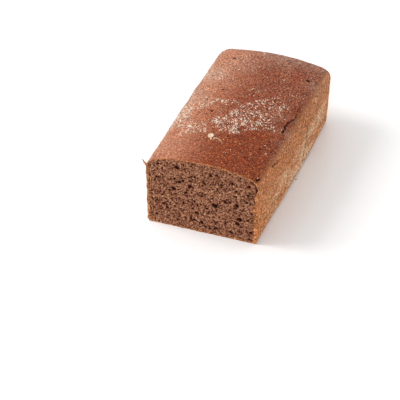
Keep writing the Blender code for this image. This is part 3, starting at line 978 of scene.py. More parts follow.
def crumb_pores_tree():
    """Pushes the cut face in where bubbles of several sizes cross it, and keeps each point's depth."""
    nodes, given, out = shape_tree(
        "Crumb pores",
        [
            ("Bubble Depth", FLOAT, 1.15),
            ("Wander", FLOAT, 0.7),
            ("Crevice Size", FLOAT, 1.6),
            ("Ridge Size", FLOAT, 2.1),
            ("Ridge Height", FLOAT, 0.3),
            ("Crevice Depth", FLOAT, 1.3),
            ("Grain Height", FLOAT, 0.22),
            ("Full Depth", FLOAT, 1.15),
            ("Deepest", FLOAT, DEEPEST_PORE),
        ],
    )
    place = nodes.place()
    front = nodes.kept_number("front")
    large = nodes.kept_number("large_pore")
    swirl = nodes.swirl(place, 0.45, detail=3.0)
    place = nodes.vector("ADD", place, nodes.scaled(swirl, nodes.math("MULTIPLY", given["Wander"], 2.4)))
    crevice = nodes.ramp(nodes.noise(place, given["Crevice Size"], 3.0, 0.5), 0.45, 0.66)
    line = nodes.math("SUBTRACT", nodes.noise(place, given["Ridge Size"], roughness=0.5), 0.5)
    ridge = nodes.ramp(nodes.math("ABSOLUTE", line), 0.06, 0.0)
    crevice = nodes.math("MULTIPLY", crevice, nodes.math("MULTIPLY_ADD", ridge, -0.8, 1.0))
    crevice = nodes.math("MULTIPLY", crevice, given["Crevice Depth"])
    depth = nodes.math("MAXIMUM", large, crevice)
    for k, (size, least, most, share) in enumerate(BUBBLES):
        moved = nodes.vector("ADD", place, (17.0 * k, 0.31 * k * size, 9.0 * k))
        gap, draw = nodes.cells(moved, size)
        radius = nodes.math("MULTIPLY_ADD", nodes.math("POWER", draw[0], 1.3), most - least, least)
        radius = nodes.math("MULTIPLY", radius, nodes.math("LESS_THAN", draw[1], share))
        inside = nodes.math("SUBTRACT", nodes.math("POWER", radius, 2.0), nodes.math("POWER", gap, 2.0))
        hollow = nodes.math("SQRT", nodes.math("MAXIMUM", inside, 0.0))
        hollow = nodes.math("MULTIPLY", nodes.math("MULTIPLY", hollow, size), given["Bubble Depth"])
        depth = nodes.math("MAXIMUM", depth, hollow)
    depth = nodes.math("MINIMUM", depth, given["Deepest"])
    grain = nodes.math("SUBTRACT", nodes.noise(place, 0.55, detail=3.0, roughness=0.7), 0.5)
    height = nodes.math("MULTIPLY_ADD", grain, given["Grain Height"], depth)
    height = nodes.math("SUBTRACT", height, nodes.math("MULTIPLY", ridge, given["Ridge Height"]))
    height = nodes.math("MULTIPLY", nodes.math("MULTIPLY", height, front), MM)
    move = nodes.add("ShaderNodeCombineXYZ", {1: height}).outputs[0]
    share = nodes.math("DIVIDE", depth, given["Full Depth"], clamp=True)
    kept = {"depth": nodes.math("MULTIPLY", share, front), "ridge": nodes.math("MULTIPLY", ridge, front)}
    return ended(nodes, given, out, given["Geometry"], kept, move)


def lump_scale(nodes, given):
    """A lump's size along its three axes, drawn at random."""
    seed = given["Seed"]
    draw = nodes.add("FunctionNodeRandomValue", {"Seed": nodes.math("ADD", seed, 7.0)}, data_type="FLOAT")
    grown = nodes.math("POWER", draw.outputs[1], 1.7)
    size = nodes.ramp(grown, 0.0, 1.0, given["Least Size"], given["Largest Size"], smooth=False)
    size = nodes.math("MULTIPLY", size, MM / 2)
    draw = nodes.add("FunctionNodeRandomValue", {"Seed": nodes.math("ADD", seed, 3.0)}, data_type="FLOAT")
    stretch = nodes.ramp(draw.outputs[1], 0.0, 1.0, 0.75, 1.45, smooth=False)
    sides = {0: nodes.math("MULTIPLY", size, stretch), 1: size}
    sides[2] = nodes.math("MULTIPLY", size, given["Flatness"])
    return nodes.add("ShaderNodeCombineXYZ", sides).outputs[0]


def scatter_tree():
    """Strews small lumps over a surface, as dense as an attribute says, each turned and sized at random."""
    nodes, given, out = shape_tree(
        "Strewn lumps",
        [
            ("Density", FLOAT, 1.0),
            ("Least Size", FLOAT, 0.3),
            ("Largest Size", FLOAT, 0.8),
            ("Flatness", FLOAT, 0.6),
            ("Clump Size", FLOAT, 3.0),
            ("Clumping", FLOAT, 1.0),
            ("Seed", INT, 1),
        ],
    )
    clump = nodes.ramp(nodes.noise(nodes.place(), given["Clump Size"], 3.0, 0.5), 0.42, 0.62)
    clump = nodes.math("POWER", clump, given["Clumping"])
    density = nodes.math("MULTIPLY", nodes.kept_number("strewn"), clump)
    density = nodes.math("MULTIPLY", density, given["Density"])
    density = nodes.math("MULTIPLY", density, 1 / MM**2)
    feeds = {"Mesh": given["Geometry"], "Density": density, "Seed": given["Seed"]}
    spots = nodes.add("GeometryNodeDistributePointsOnFaces", feeds)
    spin = nodes.add("FunctionNodeRandomValue", {"Seed": given["Seed"]}, data_type="FLOAT_VECTOR")
    nodes.feed(spin.inputs[1], (0.5, 0.5, 6.28))
    turn = nodes.add("FunctionNodeEulerToRotation", {0: spin.outputs[0]})
    feeds = {0: spots.outputs["Rotation"], 1: turn.outputs[0]}
    turned = nodes.add("FunctionNodeRotateRotation", feeds, rotation_space="LOCAL")
    lump = nodes.add("GeometryNodeMeshIcoSphere", {"Radius": 1.0, "Subdivisions": 1})
    feeds = {"Points": spots.outputs["Points"], "Instance": lump.outputs["Mesh"]}
    feeds |= {"Rotation": turned.outputs[0], "Scale": lump_scale(nodes, given)}
    strewn = nodes.add("GeometryNodeInstanceOnPoints", feeds)
    real = nodes.add("GeometryNodeRealizeInstances", {0: strewn.outputs[0]})
    wobble = nodes.math("MULTIPLY", given["Least Size"], 0.9 * MM)
    wobble = nodes.scaled(nodes.swirl(nodes.place(), 3.0), wobble)
    return ended(nodes, given, out, real.outputs[0], {}, wobble)


# Pieces


def cut_end(first):
    """Rows from the recess that takes the crumb out to the rim of the cut, with each row's rim number."""
    crust = crust_thickness(first)
    bright = 0.25 + 0.75 * np.maximum(right_wall(first), 0.5 * rises(first[:, 2], 20, 66))
    bright = np.maximum(bright, 0.8 * left_wall(first))
    middle = first.mean(axis=0)
    inner = inset_ring(first, crust, RECESS_DEPTH)
    rows, rims = [], []
    for share in RECESS_SHARES:
        floor = middle + (inner - middle) * share
        floor[:, 1] = RECESS_DEPTH
        rows.append(floor)
        rims.append(0 * bright)
    for along in RECESS_RINGS:
        rows.append(inset_ring(first, crust, along))
        rims.append(0.6 * bright)
    for k in range(RIM_ROWS):
        rows.append(inset_ring(first, crust * (1 - k / RIM_ROWS), 0.0))
        rims.append(bright)
    return rows, rims, bright


def whole_end(last):
    """Rows that close the far end, bulging a little, and the place of its tip."""
    middle = last.mean(axis=0)
    rows = []
    for k in range(1, END_CAP_ROWS):
        share = 1 - k / END_CAP_ROWS
        rows.append(middle + (last - middle) * share + (0, END_BULGE * (1 - share**2), 0))
    return rows, middle + (0, END_BULGE, 0)


def crust_shell(seed):
    """The crust as one closed shell: recess, cut rim, skin and far end."""
    rings, normals = skin_rings(ring_distances())
    columns = rings.shape[1]
    rows, rims, bright = cut_end(rings[0])
    start = len(rows) * columns
    end_rows, tip = whole_end(rings[-1])
    rows += [*rings, *end_rows]
    count = len(rows)
    rims += [share * bright for share in (0.6, 0.25, 0.1)]
    rims += [0 * bright] * (count - len(rims))
    base = rings[0].mean(axis=0)
    base[1] = RECESS_DEPTH
    points = np.vstack([*rows, [base], [tip]])
    faces = sheet_faces(count, columns)
    faces += fan(0, columns, count * columns, False)
    faces += fan((count - 1) * columns, columns, count * columns + 1, True)
    up = np.zeros(len(points))
    up[start : start + len(rings) * columns] = np.clip(normals[..., 2].ravel(), 0, 1)
    loose = np.minimum(np.maximum(points[:, 2], 0) / BASE_RADIUS, 1)
    loose[: start - RIM_ROWS * columns] = 0
    loose[-2:] = (0, 1)
    made = mesh_object("crust", points, faces)
    keep_numbers(made, "up", up)
    keep_numbers(made, "loose", loose)
    keep_numbers(made, "rim", np.concatenate([*rims, (0, 0)]))
    mark_crust(made, rings, seed)
    return made


def crust_thickness(ring):
    """Crust thickness at each point of the cut: uneven, thickest on the right wall and thin on the dome."""
    found = [1 + 0.5 * noise.noise(Vector(p) / 5) + 0.5 * noise.noise(Vector(p) / 1.5) for p in ring]
    wider = 0.8 + 2.4 * right_wall(ring) + 1.0 * left_wall(ring)
    return (np.clip(found, 0.4, 1.7) * wider)[:, None]


def right_wall(ring):
    """1 on the right wall below the shoulder, where the cut crust is thick and bright, and 0 elsewhere."""
    return rises(ring[:, 0], 45.5, 48.5) * (1 - rises(ring[:, 2], 44, 58))


def left_wall(ring):
    """1 on the left wall below the shoulder and 0 elsewhere."""
    return rises(-ring[:, 0], 45.5, 48.5) * (1 - rises(ring[:, 2], 50, 62))


def own_points(data):
    """A mesh's points in the loaf's own frame, in millimetres."""
    points = np.empty(len(data.vertices) * 3)
    data.vertices.foreach_get("co", points)
    return points.reshape(-1, 3) / MM - (MIDDLE_AT, CUT_AT, 0)


def refine(made, near):
    """Divides the edges between points that are near."""
    mesh = bmesh.new()
    mesh.from_mesh(made.data)
    mesh.verts.ensure_lookup_table()
    close = [edge for edge in mesh.edges if near[edge.verts[0].index] and near[edge.verts[1].index]]
    bmesh.ops.subdivide_edges(mesh, edges=close, cuts=2, use_grid_fill=True)
    bmesh.ops.triangulate(mesh, faces=[face for face in mesh.faces if len(face.verts) > 4])
    mesh.to_mesh(made.data)
    mesh.free()


def mark_crust(made, rings, seed):
    """Cuts splits, creases and pits into the shell, and keeps the numbers that its finish reads."""
    splits, creases, pits = crust_marks(Skin(rings), np.random.default_rng(seed))
    data = made.data
    refine(made, near_marks(own_points(data), splits + creases, pits) < REFINE_WITHIN)
    points = own_points(data)
    normals = np.empty(len(data.vertices) * 3)
    data.vertices.foreach_get("normal", normals)
    depth = mark_depth(points, splits + creases, pits)
    crease_depth = mark_depth(points, creases, [])
    moved = placed(points) - normals.reshape(-1, 3) * depth[:, None] * MM
    data.vertices.foreach_set("co", moved.ravel())
    data.update()
    up = read_numbers(made, "up")
    # split: how strong the painted shade in splits, creases and pits is, from their depth
    dark = np.maximum(depth / SPLIT_SHADE_DEPTH, crease_depth / CREASE_SHADE_DEPTH)
    keep_numbers(made, "split", np.clip(dark, 0, 1))
    keep_numbers(made, "flour", flour_at(points, up) * np.clip(1 - 2 * depth, 0, 1))
    foot = 0.5 * (1 - rises(points[:, 2], 0.4, 2.6))
    upper_wall = 0.2 * rises(points[:, 2], 24, 46)
    keep_numbers(made, "brown", np.maximum(rises(up, 0.2, 0.985), foot + upper_wall))
    # left: how far towards the left a point lies; the finish paints the dome lighter there, partly paler
    # crust and partly a painted highlight
    keep_numbers(made, "left", rises(-points[:, 0], -8, 42))
    keep_numbers(made, "cream", cream_at(points, up))
    keep_numbers(made, "flour_haze_and_sheen", haze_at(points, up))


def coons(bottom, top, left, right):
    """A grid between four edges: bottom and top run left to right, left and right run upwards."""
    u = np.linspace(0, 1, len(bottom))[None, :, None]
    v = np.linspace(0, 1, len(left))[:, None, None]
    across = (1 - v) * bottom[None] + v * top[None]
    upward = (1 - u) * left[:, None] + u * right[:, None]
    corners = (1 - u) * (1 - v) * bottom[0] + u * (1 - v) * bottom[-1]
    corners = corners + (1 - u) * v * top[0] + u * v * top[-1]
    return across + upward - corners


def evenly(line, count):
    """The line again, as this many points at even distances."""
    steps = np.linalg.norm(np.diff(line, axis=0), axis=1)
    travelled = np.concatenate([[0], np.cumsum(steps)])
    wanted = np.linspace(0, travelled[-1], count)
    return np.column_stack([np.interp(wanted, travelled, line[:, k]) for k in range(line.shape[1])])


def crumb_grid():
    """The cut face's points inside the crust, rows upwards and columns to the right."""
    ring = cut_ring()
    outline = inset_ring(ring, crust_thickness(ring) - SLAB_OVERLAP, CRUMB_RECESS)
    columns = len(outline)
    low = BASE_STEPS + BASE_CORNER_STEPS
    high = low + WALL_STEPS
    right = outline[low : high + 1]
    left = outline[[columns - k for k in range(low, high + 1)]]
    top = outline[high : columns - high + 1][::-1]
    bottom = outline[[*range(columns - low, columns), *range(0, low + 1)]]
    edges = [evenly(bottom, CRUMB_COLUMNS), evenly(top, CRUMB_COLUMNS)]
    edges += [evenly(left, CRUMB_ROWS), evenly(right, CRUMB_ROWS)]
    return coons(*edges)


def cut_ring():
    """The skin's ring at the cut."""
    return skin_rings(ring_distances()[:3])[0][0]


def widened(depths):
    """A grid of depths with its deepest hollows widened by a few cells each way."""
    deep = np.where(depths > WIDENED_PORE_DEPTH, depths, 0)
    found = depths.copy()
    steps = range(-WIDENED_CELLS, WIDENED_CELLS + 1)
    for rows in steps:
        for columns in steps:
            if rows * rows + columns * columns <= WIDENED_CELLS**2 + 1:
                moved = np.roll(deep, (rows, columns), axis=(0, 1))
                found = np.maximum(found, WIDENED_SHARE * moved)
    return found


def solid_pores(points):
    """How deep the solid's pores and the gap inside the right rim go at each point of the cut face."""
    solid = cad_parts[NODE].data
    tree = BVHTree.FromPolygons([v.co for v in solid.vertices], [p.vertices for p in solid.polygons])
    ahead = Vector((0, 1, 0))
    found = []
    for point in points:
        wander = steady_swirl(Vector(point) / 1.3) * 0.5
        start = (np.array(point) + wander + (MIDDLE_AT, CUT_AT - 5, 0)) * MM
        hit = tree.ray_cast(Vector(start), ahead)[0]
        found.append(0 if hit is None else hit.y / MM - CUT_AT - CRUMB_RECESS)
    found = widened(np.array(found).reshape(CRUMB_ROWS, CRUMB_COLUMNS)).ravel()
    gap = to_route(points[:, [0, 2]], np.array(RIM_GAP))[0] / (0.8 + 0.5 * lumps(points, 2, 2, 2))
    return np.clip(PORE_DEEPENING * found + RIM_GAP_DEPTH * np.exp(-(gap**2)), 0, DEEPEST_PORE)


def crumb_slab():
    """The crumb as one closed slab: the cut face as a fine grid, sides, and a plain back."""
    grid = crumb_grid()
    rows, columns, _ = grid.shape
    points = grid.reshape(-1, 3)
    k = np.arange((rows - 1) * columns).reshape(rows - 1, columns)[:, :-1]
    faces = np.stack([k, k + 1, k + columns + 1, k + columns], axis=-1).reshape(-1, 4).tolist()
    rim = [*range(columns), *range(2 * columns - 1, rows * columns, columns)]
    rim += [*range(rows * columns - 2, (rows - 1) * columns - 1, -1)]
    rim += [*range((rows - 2) * columns, 0, -columns)]
    back = points[rim].copy()
    back[:, 1] = SLAB_BACK
    start = len(points)
    count = len(rim)
    for n in range(count):
        after = (n + 1) % count
        faces.append((rim[n], start + n, start + after, rim[after]))
        faces.append((start + n, start + count, start + after))
    middle = back.mean(axis=0)
    made = mesh_object("crumb", np.vstack([points, back, [middle]]), faces)
    front = np.concatenate([np.ones(start), np.zeros(count + 1)])
    large = np.concatenate([solid_pores(points), np.zeros(count + 1)])
    keep_numbers(made, "front", front)
    keep_numbers(made, "large_pore", large)
    return made


def scattered(name, source, strewn, material, values):
    """Lumps strewn over a copy of the source mesh, as dense as strewn says at each of its points."""
    made = bpy.data.objects.new(name, source.data.copy())
    bpy.context.scene.collection.objects.link(made)
    keep_numbers(made, "strewn", strewn)
    values = {"Material": material, **values}
    made = evaluated(made, bpy.data.node_groups["Strewn lumps"], values)
    if not made.data.polygons:
        raise RuntimeError(f"{name} strewed nothing")
    return made


def read_numbers(made, name):
    found = np.empty(len(made.data.vertices))
    made.data.attributes[name].data.foreach_get("value", found)
    return found


def lump_mesh(mesh, place, sizes, turn, draw, rough, steps=2):
    """A lump pushed about at random, added to the mesh."""
    spread = Matrix.Diagonal((*sizes, 1))
    matrix = Matrix.Translation(place) @ turn @ spread
    made = bmesh.ops.create_icosphere(mesh, subdivisions=steps, radius=0.5, matrix=matrix)
    for vertex in made["verts"]:
        vertex.co = place + (vertex.co - place) * (1 + draw.uniform(-rough, rough))


def oat_flake(skin):
    """A cracked oat flake with a groove, chips beside it and the husk that trails from it."""
    draw = random.Random(5)
    place, normal = skin.from_above(*FLAKE_AT)
    turn = normal.to_track_quat("Z", "Y").to_matrix().to_4x4()
    mesh = bmesh.new()
    matrix = Matrix.Translation(place + normal * 0.5) @ turn @ Matrix.Rotation(0.3, 4, "Z")
    bmesh.ops.create_uvsphere(mesh, u_segments=40, v_segments=20, radius=1)
    for vertex in mesh.verts:
        x, y, z = vertex.co
        edge = 1 + 0.12 * noise.noise(vertex.co * 2.2) + 0.05 * noise.noise(vertex.co * 7)
        groove = 0.35 * math.exp(-((y / 0.16) ** 2)) * max(z, 0)
        height = 0.9 * (z - groove) + 0.25 * noise.noise(vertex.co * 5)
        vertex.co = Vector((3.3 * x * edge, 2.6 * y * edge, height))
    bmesh.ops.transform(mesh, matrix=matrix, verts=mesh.verts)
    for across, along, size in CHIPS:
        spot, _ = skin.from_above(across, along)
        lump_mesh(mesh, spot, (size, 0.8 * size, 0.55 * size), turn, draw, 0.12)
    husk = [skin.from_above(*spot) for spot in HUSK_ROUTE]
    route = smooth_route([place + normal * 0.25 for place, normal in husk], 6)
    stations = [(place, husk[0][1]) for place in route]
    tube(mesh, stations, np.linspace(0.75, 0.3, len(stations)), 0.4)
    return mesh


def tube(mesh, stations, widths, thickness, sides=8):
    """A closed flattened tube through stations of (place, normal), with a width at each."""
    rows = []
    last = len(stations) - 1
    for k, (place, normal) in enumerate(stations):
        ahead = stations[min(k + 1, last)][0] - stations[max(k - 1, 0)][0]
        side = ahead.cross(normal).normalized()
        row = []
        for n in range(sides):
            turn = 2 * math.pi * n / sides
            flat = side * math.cos(turn) * widths[k] / 2 + normal * math.sin(turn) * thickness / 2
            row.append(mesh.verts.new(place + flat))
        rows.append(row)
    for near, far in zip(rows, rows[1:]):
        for n in range(sides):
            after = (n + 1) % sides
            mesh.faces.new((near[n], near[after], far[after], far[n]))
    mesh.faces.new(rows[0])
    mesh.faces.new(list(reversed(rows[-1])))


def smooth_route(route, steps):
    """Points on a smooth curve through the route."""
    points = [Vector(p) for p in route]
    points = [2 * points[0] - points[1], *points, 2 * points[-1] - points[-2]]
    found = []
    for a, b, c, d in zip(points, points[1:], points[2:], points[3:]):
        for k in range(steps):
            t = k / steps
            bend = 2 * a - 5 * b + 4 * c - d
            twist = 3 * b - a - 3 * c + d
            found.append(0.5 * (2 * b + (c - a) * t + bend * t**2 + twist * t**3))
    return [*found, points[-2]]


def bmesh_object(name, mesh):
    bmesh.ops.recalc_face_normals(mesh, faces=mesh.faces)
    bmesh.ops.transform(mesh, matrix=Matrix.Translation((MIDDLE_AT, CUT_AT, 0)), verts=mesh.verts)
    bmesh.ops.scale(mesh, vec=(MM, MM, MM), verts=mesh.verts)
    data = bpy.data.meshes.new(name)
    mesh.to_mesh(data)
    mesh.free()
    made = bpy.data.objects.new(name, data)
    bpy.context.scene.collection.objects.link(made)
    return made


def torn_shred():
    """The curl of crust torn loose at the cut's upper left edge."""
    mesh = bmesh.new()
    places = smooth_route(SHRED_ROUTE, 6)
    last = len(places) - 1
    stations = []
    for k, place in enumerate(places):
        curl = Vector((-0.5 * k / last, -1, 0.3 * k / last)).normalized()
        stations.append((place + steady_swirl(place / 1.1) * 0.15, curl))
    widths = [2.7 * (1 - k / last) ** 0.7 * (1 + 0.25 * math.sin(5 * k)) + 0.5 for k in range(len(places))]
    tube(mesh, stations, widths, 0.9)
    return mesh


def rim_crumbs(draw):
    """Crumbs and frays along the cut's lower edge, right edge and upper right corner."""
    mesh = bmesh.new()
    ring = cut_ring()
    columns = len(ring)
    low = BASE_STEPS + BASE_CORNER_STEPS
    bottom = [*range(columns - low, columns), *range(0, low)]
    right = [*range(low, low + WALL_STEPS + SHOULDER_STEPS)]
    left = [columns - k for k in range(low, low + WALL_STEPS)]
    for choices, count, largest in ((bottom, 190, 1.9), (right, 150, 1.9), (left, 60, 0.9)):
        for _ in range(count):
            k = draw.choice(choices)
            place = Vector(ring[k]).lerp(Vector(ring[(k + 1) % columns]), draw.random())
            size = 0.35 + (largest - 0.35) * draw.random() ** 2
            place += Vector((0, draw.uniform(-0.15, 0.4) * size, 0))
            if choices is right:
                place.x -= draw.uniform(0, 2.8) * float(right_wall(ring[k : k + 1])[0])
            place.z = max(place.z, 0.7 * size)
            turn = Matrix.Rotation(draw.uniform(0, math.pi), 4, "Y")
            sizes = (size * draw.uniform(0.8, 1.4), 0.8 * size, 0.8 * size)
            lump_mesh(mesh, place, sizes, turn, draw, 0.16, steps=1 if size < 0.8 else 2)
    lump_mesh(mesh, Vector(FOOT_CRUMB_AT), (1.9, 0.7, 0.7), Matrix.Rotation(0.5, 4, "Z"), draw, 0.15)
    return mesh


# Settings that a user would change


def number(name, description, default, least=0.0):
    return FloatProperty(name=name, description=description, default=default, min=least)


def angle(name, description, degrees):
    turn = math.radians(degrees)
    return FloatProperty(name=name, description=description, default=turn, subtype="ANGLE", unit="ROTATION")


def tint(name, description, default):
    return FloatVectorProperty(
        name=name, description=description, default=default, size=3, min=0, max=1, subtype="COLOR"
    )


class RyeCrustSettings(bpy.types.PropertyGroup):
    pimple_size: number("Pimple size", "Distance between pimples of the crust, in mm", 2.1, 0.5)
    pimple_height: number("Pimple height", "Height of the pimples, in mm", 0.2)
    grain_size: number("Grain size", "Size of the crust's grain, in mm", 1.0, 0.2)
    grain_height: number("Grain height", "Height of the crust's grain, in mm", 0.45)
    wall_height: number("Wall height", "Height of the tin walls' coarser grain, in mm", 1.0)
    pit_depth: number("Pit depth", "Depth of the tin walls' pits, in mm", 0.5)
    seed: IntProperty(name="Seed", description="Draws how the splits wander", default=4)


class RyeCrumbSettings(bpy.types.PropertyGroup):
    bubble_depth: number("Bubble depth", "Depth of the pores against their radius", 1.15)
    wander: number("Wander", "How far pore edges leave a round shape, in mm", 0.7)
    grain_height: number("Grain height", "Height of the crumb's own grain, in mm", 0.22)
    bran_density: number("Bran density", "Bran flecks on each square millimetre", 0.05)


class RyeFlourSettings(bpy.types.PropertyGroup):
    density: number("Density", "Grains on each square millimetre of full flour", 3.2)
    least: number("Least grain", "Width of the finest grains, in mm", 0.45, 0.05)
    largest: number("Largest grain", "Width of the coarsest grains, in mm", 1.5, 0.1)
    clump_size: number("Clump size", "Distance between clumps of flour, in mm", 1.8, 0.2)
    seed: IntProperty(name="Seed", description="Draws where grains fall", default=3)


class RyeLooks(bpy.types.PropertyGroup):
    dome_dark: tint("Dome, dark", "Darker patches of the dome", (0.12, 0.017, 0.004))
    dome_light: tint("Dome, light", "Lighter patches of the dome", (0.24, 0.044, 0.0105))
    # Partly paler crust, partly a painted highlight on the lit left shoulder
    dome_left_paler_and_lit: tint("Dome, left", "The dome towards its left shoulder", (0.36, 0.125, 0.062))
    wall_pale: tint("Walls, pale", "Creamy patches and dots of the tin walls", (0.7, 0.47, 0.29))
    wall_tan: tint("Walls, tan", "Lighter patches of the tin walls", (0.6, 0.262, 0.108))
    wall_brown: tint("Walls, brown", "Darker patches of the tin walls", (0.4, 0.13, 0.043))
    # Dark streaks and dots of the crust, also used as painted shade in pits and between flour grains
    crust_dark_and_pit_shade: tint("Walls, streaks", "Dark streaks and dots of the crust", (0.1, 0.025, 0.008))
    rim_orange: tint("Cut rim, light", "The crust where it is cut", (0.66, 0.29, 0.1))
    rim_brown: tint("Cut rim, dark", "Darker bits of the cut crust", (0.3, 0.08, 0.025))
    # Fine flour, and on the left shoulder partly a painted sheen
    flour_haze_and_sheen: tint("Haze", "Film of fine flour", (0.45, 0.33, 0.255))
    # Painted glints on the crust's pimples and grain
    pale_glint: tint("Specks", "Pale dots of the crust", (0.6, 0.26, 0.105))
    # Painted shade inside splits, creases and pits
    groove_shade: tint("Splits", "Inside of splits and pits", (0.05, 0.015, 0.008))
    flour_dust: tint("Flour dust", "Fine flour on the crust", (0.52, 0.35, 0.25))
    flour: tint("Flour", "Flour grains", (0.88, 0.79, 0.67))
    flour_shade: tint("Flour, shaded", "Browner flour grains", (0.5, 0.34, 0.24))
    crumb_light: tint("Crumb, light", "Lighter crumb", (0.36, 0.145, 0.078))
    crumb_dark: tint("Crumb, dark", "Darker crumb", (0.215, 0.069, 0.037))
    # A painted highlight on the pore walls; also the darker colour of the bran flecks
    ridge_highlight_and_bran: tint("Crumb, ridges", "Thin walls between pores", (0.74, 0.41, 0.235))
    # Painted shade in the hollows between the ridges
    crumb_hollow_shade: tint("Crumb, hollows", "Redder crumb between the ridges", (0.15, 0.042, 0.022))
    # Painted shade on the floors of the pores
    pore_floor_shade: tint("Pores", "Floors of the pores", (0.042, 0.012, 0.008))
    bran: tint("Bran", "Bran in the crumb", (0.55, 0.3, 0.13))
    oat: tint("Oat", "The oat flake and husk", (0.8, 0.63, 0.45))


class RyeStageSettings(bpy.types.PropertyGroup):
    azimuth: angle("Azimuth", "Camera's turn from the cut face", 20.7431)
    elevation: angle("Elevation", "Camera's height above the horizon", 36.6471)
    roll: angle("Roll", "Camera's roll", -0.2429)
    distance: FloatProperty(
        name="Distance", description="From the camera to its target", default=2.0779, unit="LENGTH"
    )
    lens: number("Lens", "Focal length in mm on a 36 mm sensor", 226.28, 1.0)
    target: FloatVectorProperty(
        name="Target",
        description="What the camera looks at",
        default=(-0.000278, -0.09993, 0.035),
        size=3,
        subtype="TRANSLATION",
    )
    key_power: FloatProperty(
        name="Key light", description="Power of the light from the left", default=12.0, unit="POWER"
    )
    key_size: FloatProperty(name="Key size", description="Width of that light", default=0.8, unit="LENGTH")
    sky: number("Sky", "Strength of the white surroundings", 0.95)


PARTS = {
    "rye_crust": RyeCrustSettings,
    "rye_crumb": RyeCrumbSettings,
    "rye_flour": RyeFlourSettings,
    "rye_looks": RyeLooks,
    "rye_stage": RyeStageSettings,
}


# Operators


class RYE_OT_finishes(bpy.types.Operator):
    """Make the loaf's materials and the node groups that they share"""

    bl_idname = "rye.finishes"
    bl_label = "Make finishes"

    def execute(self, context):
        grain_group()
        mottle_group()
        specks_group()
        looks = context.scene.rye_looks
        for make in (crust_finish, crumb_finish, flour_finish):
            make(looks)
        bran_finish("rye bran", looks.ridge_highlight_and_bran, looks.bran)
        bran_finish("rye oat", looks.flour_shade, looks.oat)
        return {"FINISHED"}


class RYE_OT_crust(bpy.types.Operator):
    """Build the crust shell with its splits, pits, creases and relief"""

    bl_idname = "rye.crust"
    bl_label = "Build crust"

    def execute(self, context):
        settings = context.scene.rye_crust
        values = {
            "Material": bpy.data.materials["rye crust"],
            "Pimple Size": settings.pimple_size,
            "Pimple Height": settings.pimple_height,
            "Grain Size": settings.grain_size,
            "Grain Height": settings.grain_height,
            "Wall Height": settings.wall_height,
            "Pit Depth": settings.pit_depth,
        }
        made = evaluated(crust_shell(settings.seed), crust_relief_tree(), values)
        finish_piece(made)
        return {"FINISHED"}


class RYE_OT_crumb(bpy.types.Operator):
    """Build the crumb slab with its pores, and strew bran on it"""

    bl_idname = "rye.crumb"
    bl_label = "Build crumb"

    def execute(self, context):
        settings = context.scene.rye_crumb
        values = {
            "Material": bpy.data.materials["rye crumb"],
            "Bubble Depth": settings.bubble_depth,
            "Wander": settings.wander,
            "Grain Height": settings.grain_height,
        }
        made = evaluated(crumb_slab(), crumb_pores_tree(), values)
        scatter_tree()
        strewn = read_numbers(made, "front") * (1 - read_numbers(made, "depth"))
        values = {
            "Density": settings.bran_density,
            "Least Size": 0.5,
            "Largest Size": 1.9,
            "Flatness": 0.4,
            "Clump Size": 6.0,
            "Clumping": 0.5,
            "Seed": 8,
        }
        bran = scattered("bran_flecks", made, strewn, bpy.data.materials["rye bran"], values)
        finish_piece(made)
        finish_piece(bran)
        return {"FINISHED"}


class RYE_OT_flour(bpy.types.Operator):
    """Strew flour grains over the dome"""

    bl_idname = "rye.flour"
    bl_label = "Strew flour"

    def execute(self, context):
        settings = context.scene.rye_flour
        crust = bpy.data.objects.get("crust")
        if crust is None:
            raise RuntimeError("build the crust before the flour")
        values = {
            "Density": settings.density,
            "Least Size": settings.least,
            "Largest Size": settings.largest,
            "Clump Size": settings.clump_size,
            "Seed": settings.seed,
        }
        strewn = (read_numbers(crust, "flour") - FLOUR_START) / FLOUR_SPAN
        strewn = np.clip(strewn, STRAY_FLOUR, 1)
        strewn *= rises(read_numbers(crust, "up"), 0.45, 0.85)
        grains = scattered("flour_grains", crust, strewn, bpy.data.materials["rye flour"], values)
        finish_piece(grains)
        return {"FINISHED"}


class RYE_OT_small_pieces(bpy.types.Operator):
    """Lay the oat flake, husk, torn shred and rim crumbs"""

    bl_idname = "rye.small_pieces"
    bl_label = "Lay small pieces"

    def execute(self, context):
        skin = Skin(skin_rings(ring_distances())[0])
        made = bmesh_object("oat_flake", oat_flake(skin))
        made.data.materials.append(bpy.data.materials["rye oat"])
        finish_piece(made)
        for name, mesh in (("torn_shred", torn_shred()), ("rim_crumbs", rim_crumbs(random.Random(2)))):
            made = bmesh_object(name, mesh)
            made.data.materials.append(bpy.data.materials["rye crust"])
            keep_numbers(made, "rim", np.full(len(made.data.vertices), 0.8))
            finish_piece(made)
        return {"FINISHED"}


class RYE_OT_stage(bpy.types.Operator):
    """Set the floor, lights, surroundings and camera"""

    bl_idname = "rye.stage"
    bl_label = "Set stage"

    def execute(self, context):
        settings = context.scene.rye_stage
        floor()
        surroundings(settings.sky)
        area_light("key", KEY_AT, settings.key_size, settings.key_power)
        photo_camera(settings)
        context.scene.view_settings.view_transform = "Standard"
        return {"FINISHED"}


def floor():
    data = bpy.data.meshes.new("floor")
    half = 4.0
    corners = [(-half, -half, 0), (half, -half, 0), (half, half, 0), (-half, half, 0)]
    data.from_pydata(corners, [], [(0, 1, 2, 3)])
    made = bpy.data.objects.new("floor", data)
    bpy.context.scene.collection.objects.link(made)
    plain = bpy.data.materials.new("floor")
    plain.use_nodes = True
    shader = plain.node_tree.nodes["Principled BSDF"]
    shader.inputs["Base Color"].default_value = (0.9, 0.9, 0.9, 1)
    shader.inputs["Roughness"].default_value = 0.25
    shader.inputs["Specular IOR Level"].default_value = 0.3
    data.materials.append(plain)


def surroundings(strength):
    world = bpy.data.worlds.new("white studio")
    world.use_nodes = True
    sky = world.node_tree.nodes["Background"]
    sky.inputs["Color"].default_value = (1, 1, 1, 1)
    sky.inputs["Strength"].default_value = strength
    bpy.context.scene.world = world


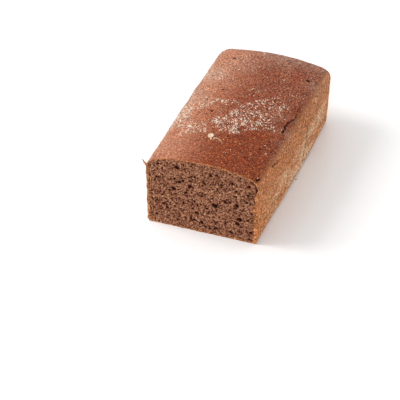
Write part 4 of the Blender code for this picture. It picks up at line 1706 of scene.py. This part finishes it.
def area_light(name, place, size, power):
    data = bpy.data.lights.new(name, "AREA")
    data.shape = "DISK"
    data.size = size
    data.energy = power
    made = bpy.data.objects.new(name, data)
    made.location = place
    made.rotation_euler = (-Vector(place)).to_track_quat("-Z", "Y").to_euler()
    bpy.context.scene.collection.objects.link(made)


def photo_camera(settings):
    """A camera at the photograph's own place."""
    a, e, roll = settings.azimuth, settings.elevation, settings.roll
    back = Vector((math.sin(a) * math.cos(e), -math.cos(a) * math.cos(e), math.sin(e)))
    right = Vector((math.cos(a), math.sin(a), 0))
    up = back.cross(right)
    rolled = right * math.cos(roll) + up * math.sin(roll)
    upright = up * math.cos(roll) - right * math.sin(roll)
    data = bpy.data.cameras.new("camera")
    data.sensor_width = 36.0
    data.lens = settings.lens
    made = bpy.data.objects.new("camera", data)
    turn = Matrix((rolled, upright, back)).transposed().to_4x4()
    made.matrix_world = Matrix.Translation(Vector(settings.target) + back * settings.distance) @ turn
    bpy.context.scene.collection.objects.link(made)
    bpy.context.scene.camera = made


STEPS = (
    RYE_OT_finishes,
    RYE_OT_crust,
    RYE_OT_crumb,
    RYE_OT_flour,
    RYE_OT_small_pieces,
    RYE_OT_stage,
)


class RYE_PT_loaf(bpy.types.Panel):
    """Lists the loaf's settings and what builds it"""

    bl_idname = "RYE_PT_loaf"
    bl_label = "Rye loaf"
    bl_space_type = "VIEW_3D"
    bl_region_type = "UI"
    bl_category = "Rye loaf"

    def draw(self, context):
        layout = self.layout
        for step in STEPS:
            layout.operator(step.bl_idname)
        for name, group in PARTS.items():
            box = layout.box()
            box.label(text=name.replace("rye_", "").capitalize())
            for setting in group.__annotations__:
                box.prop(getattr(context.scene, name), setting)


def register():
    for found in (*PARTS.values(), *STEPS, RYE_PT_loaf):
        bpy.utils.register_class(found)
    for name, group in PARTS.items():
        setattr(bpy.types.Scene, name, PointerProperty(type=group))


def unregister():
    for name in PARTS:
        delattr(bpy.types.Scene, name)
    for found in reversed((*PARTS.values(), *STEPS, RYE_PT_loaf)):
        bpy.utils.unregister_class(found)


def main():
    register()
    bpy.ops.rye.finishes()
    bpy.ops.rye.crust()
    bpy.ops.rye.crumb()
    bpy.ops.rye.flour()
    bpy.ops.rye.small_pieces()
    bpy.ops.rye.stage()


if __name__ == "__main__":
    main()
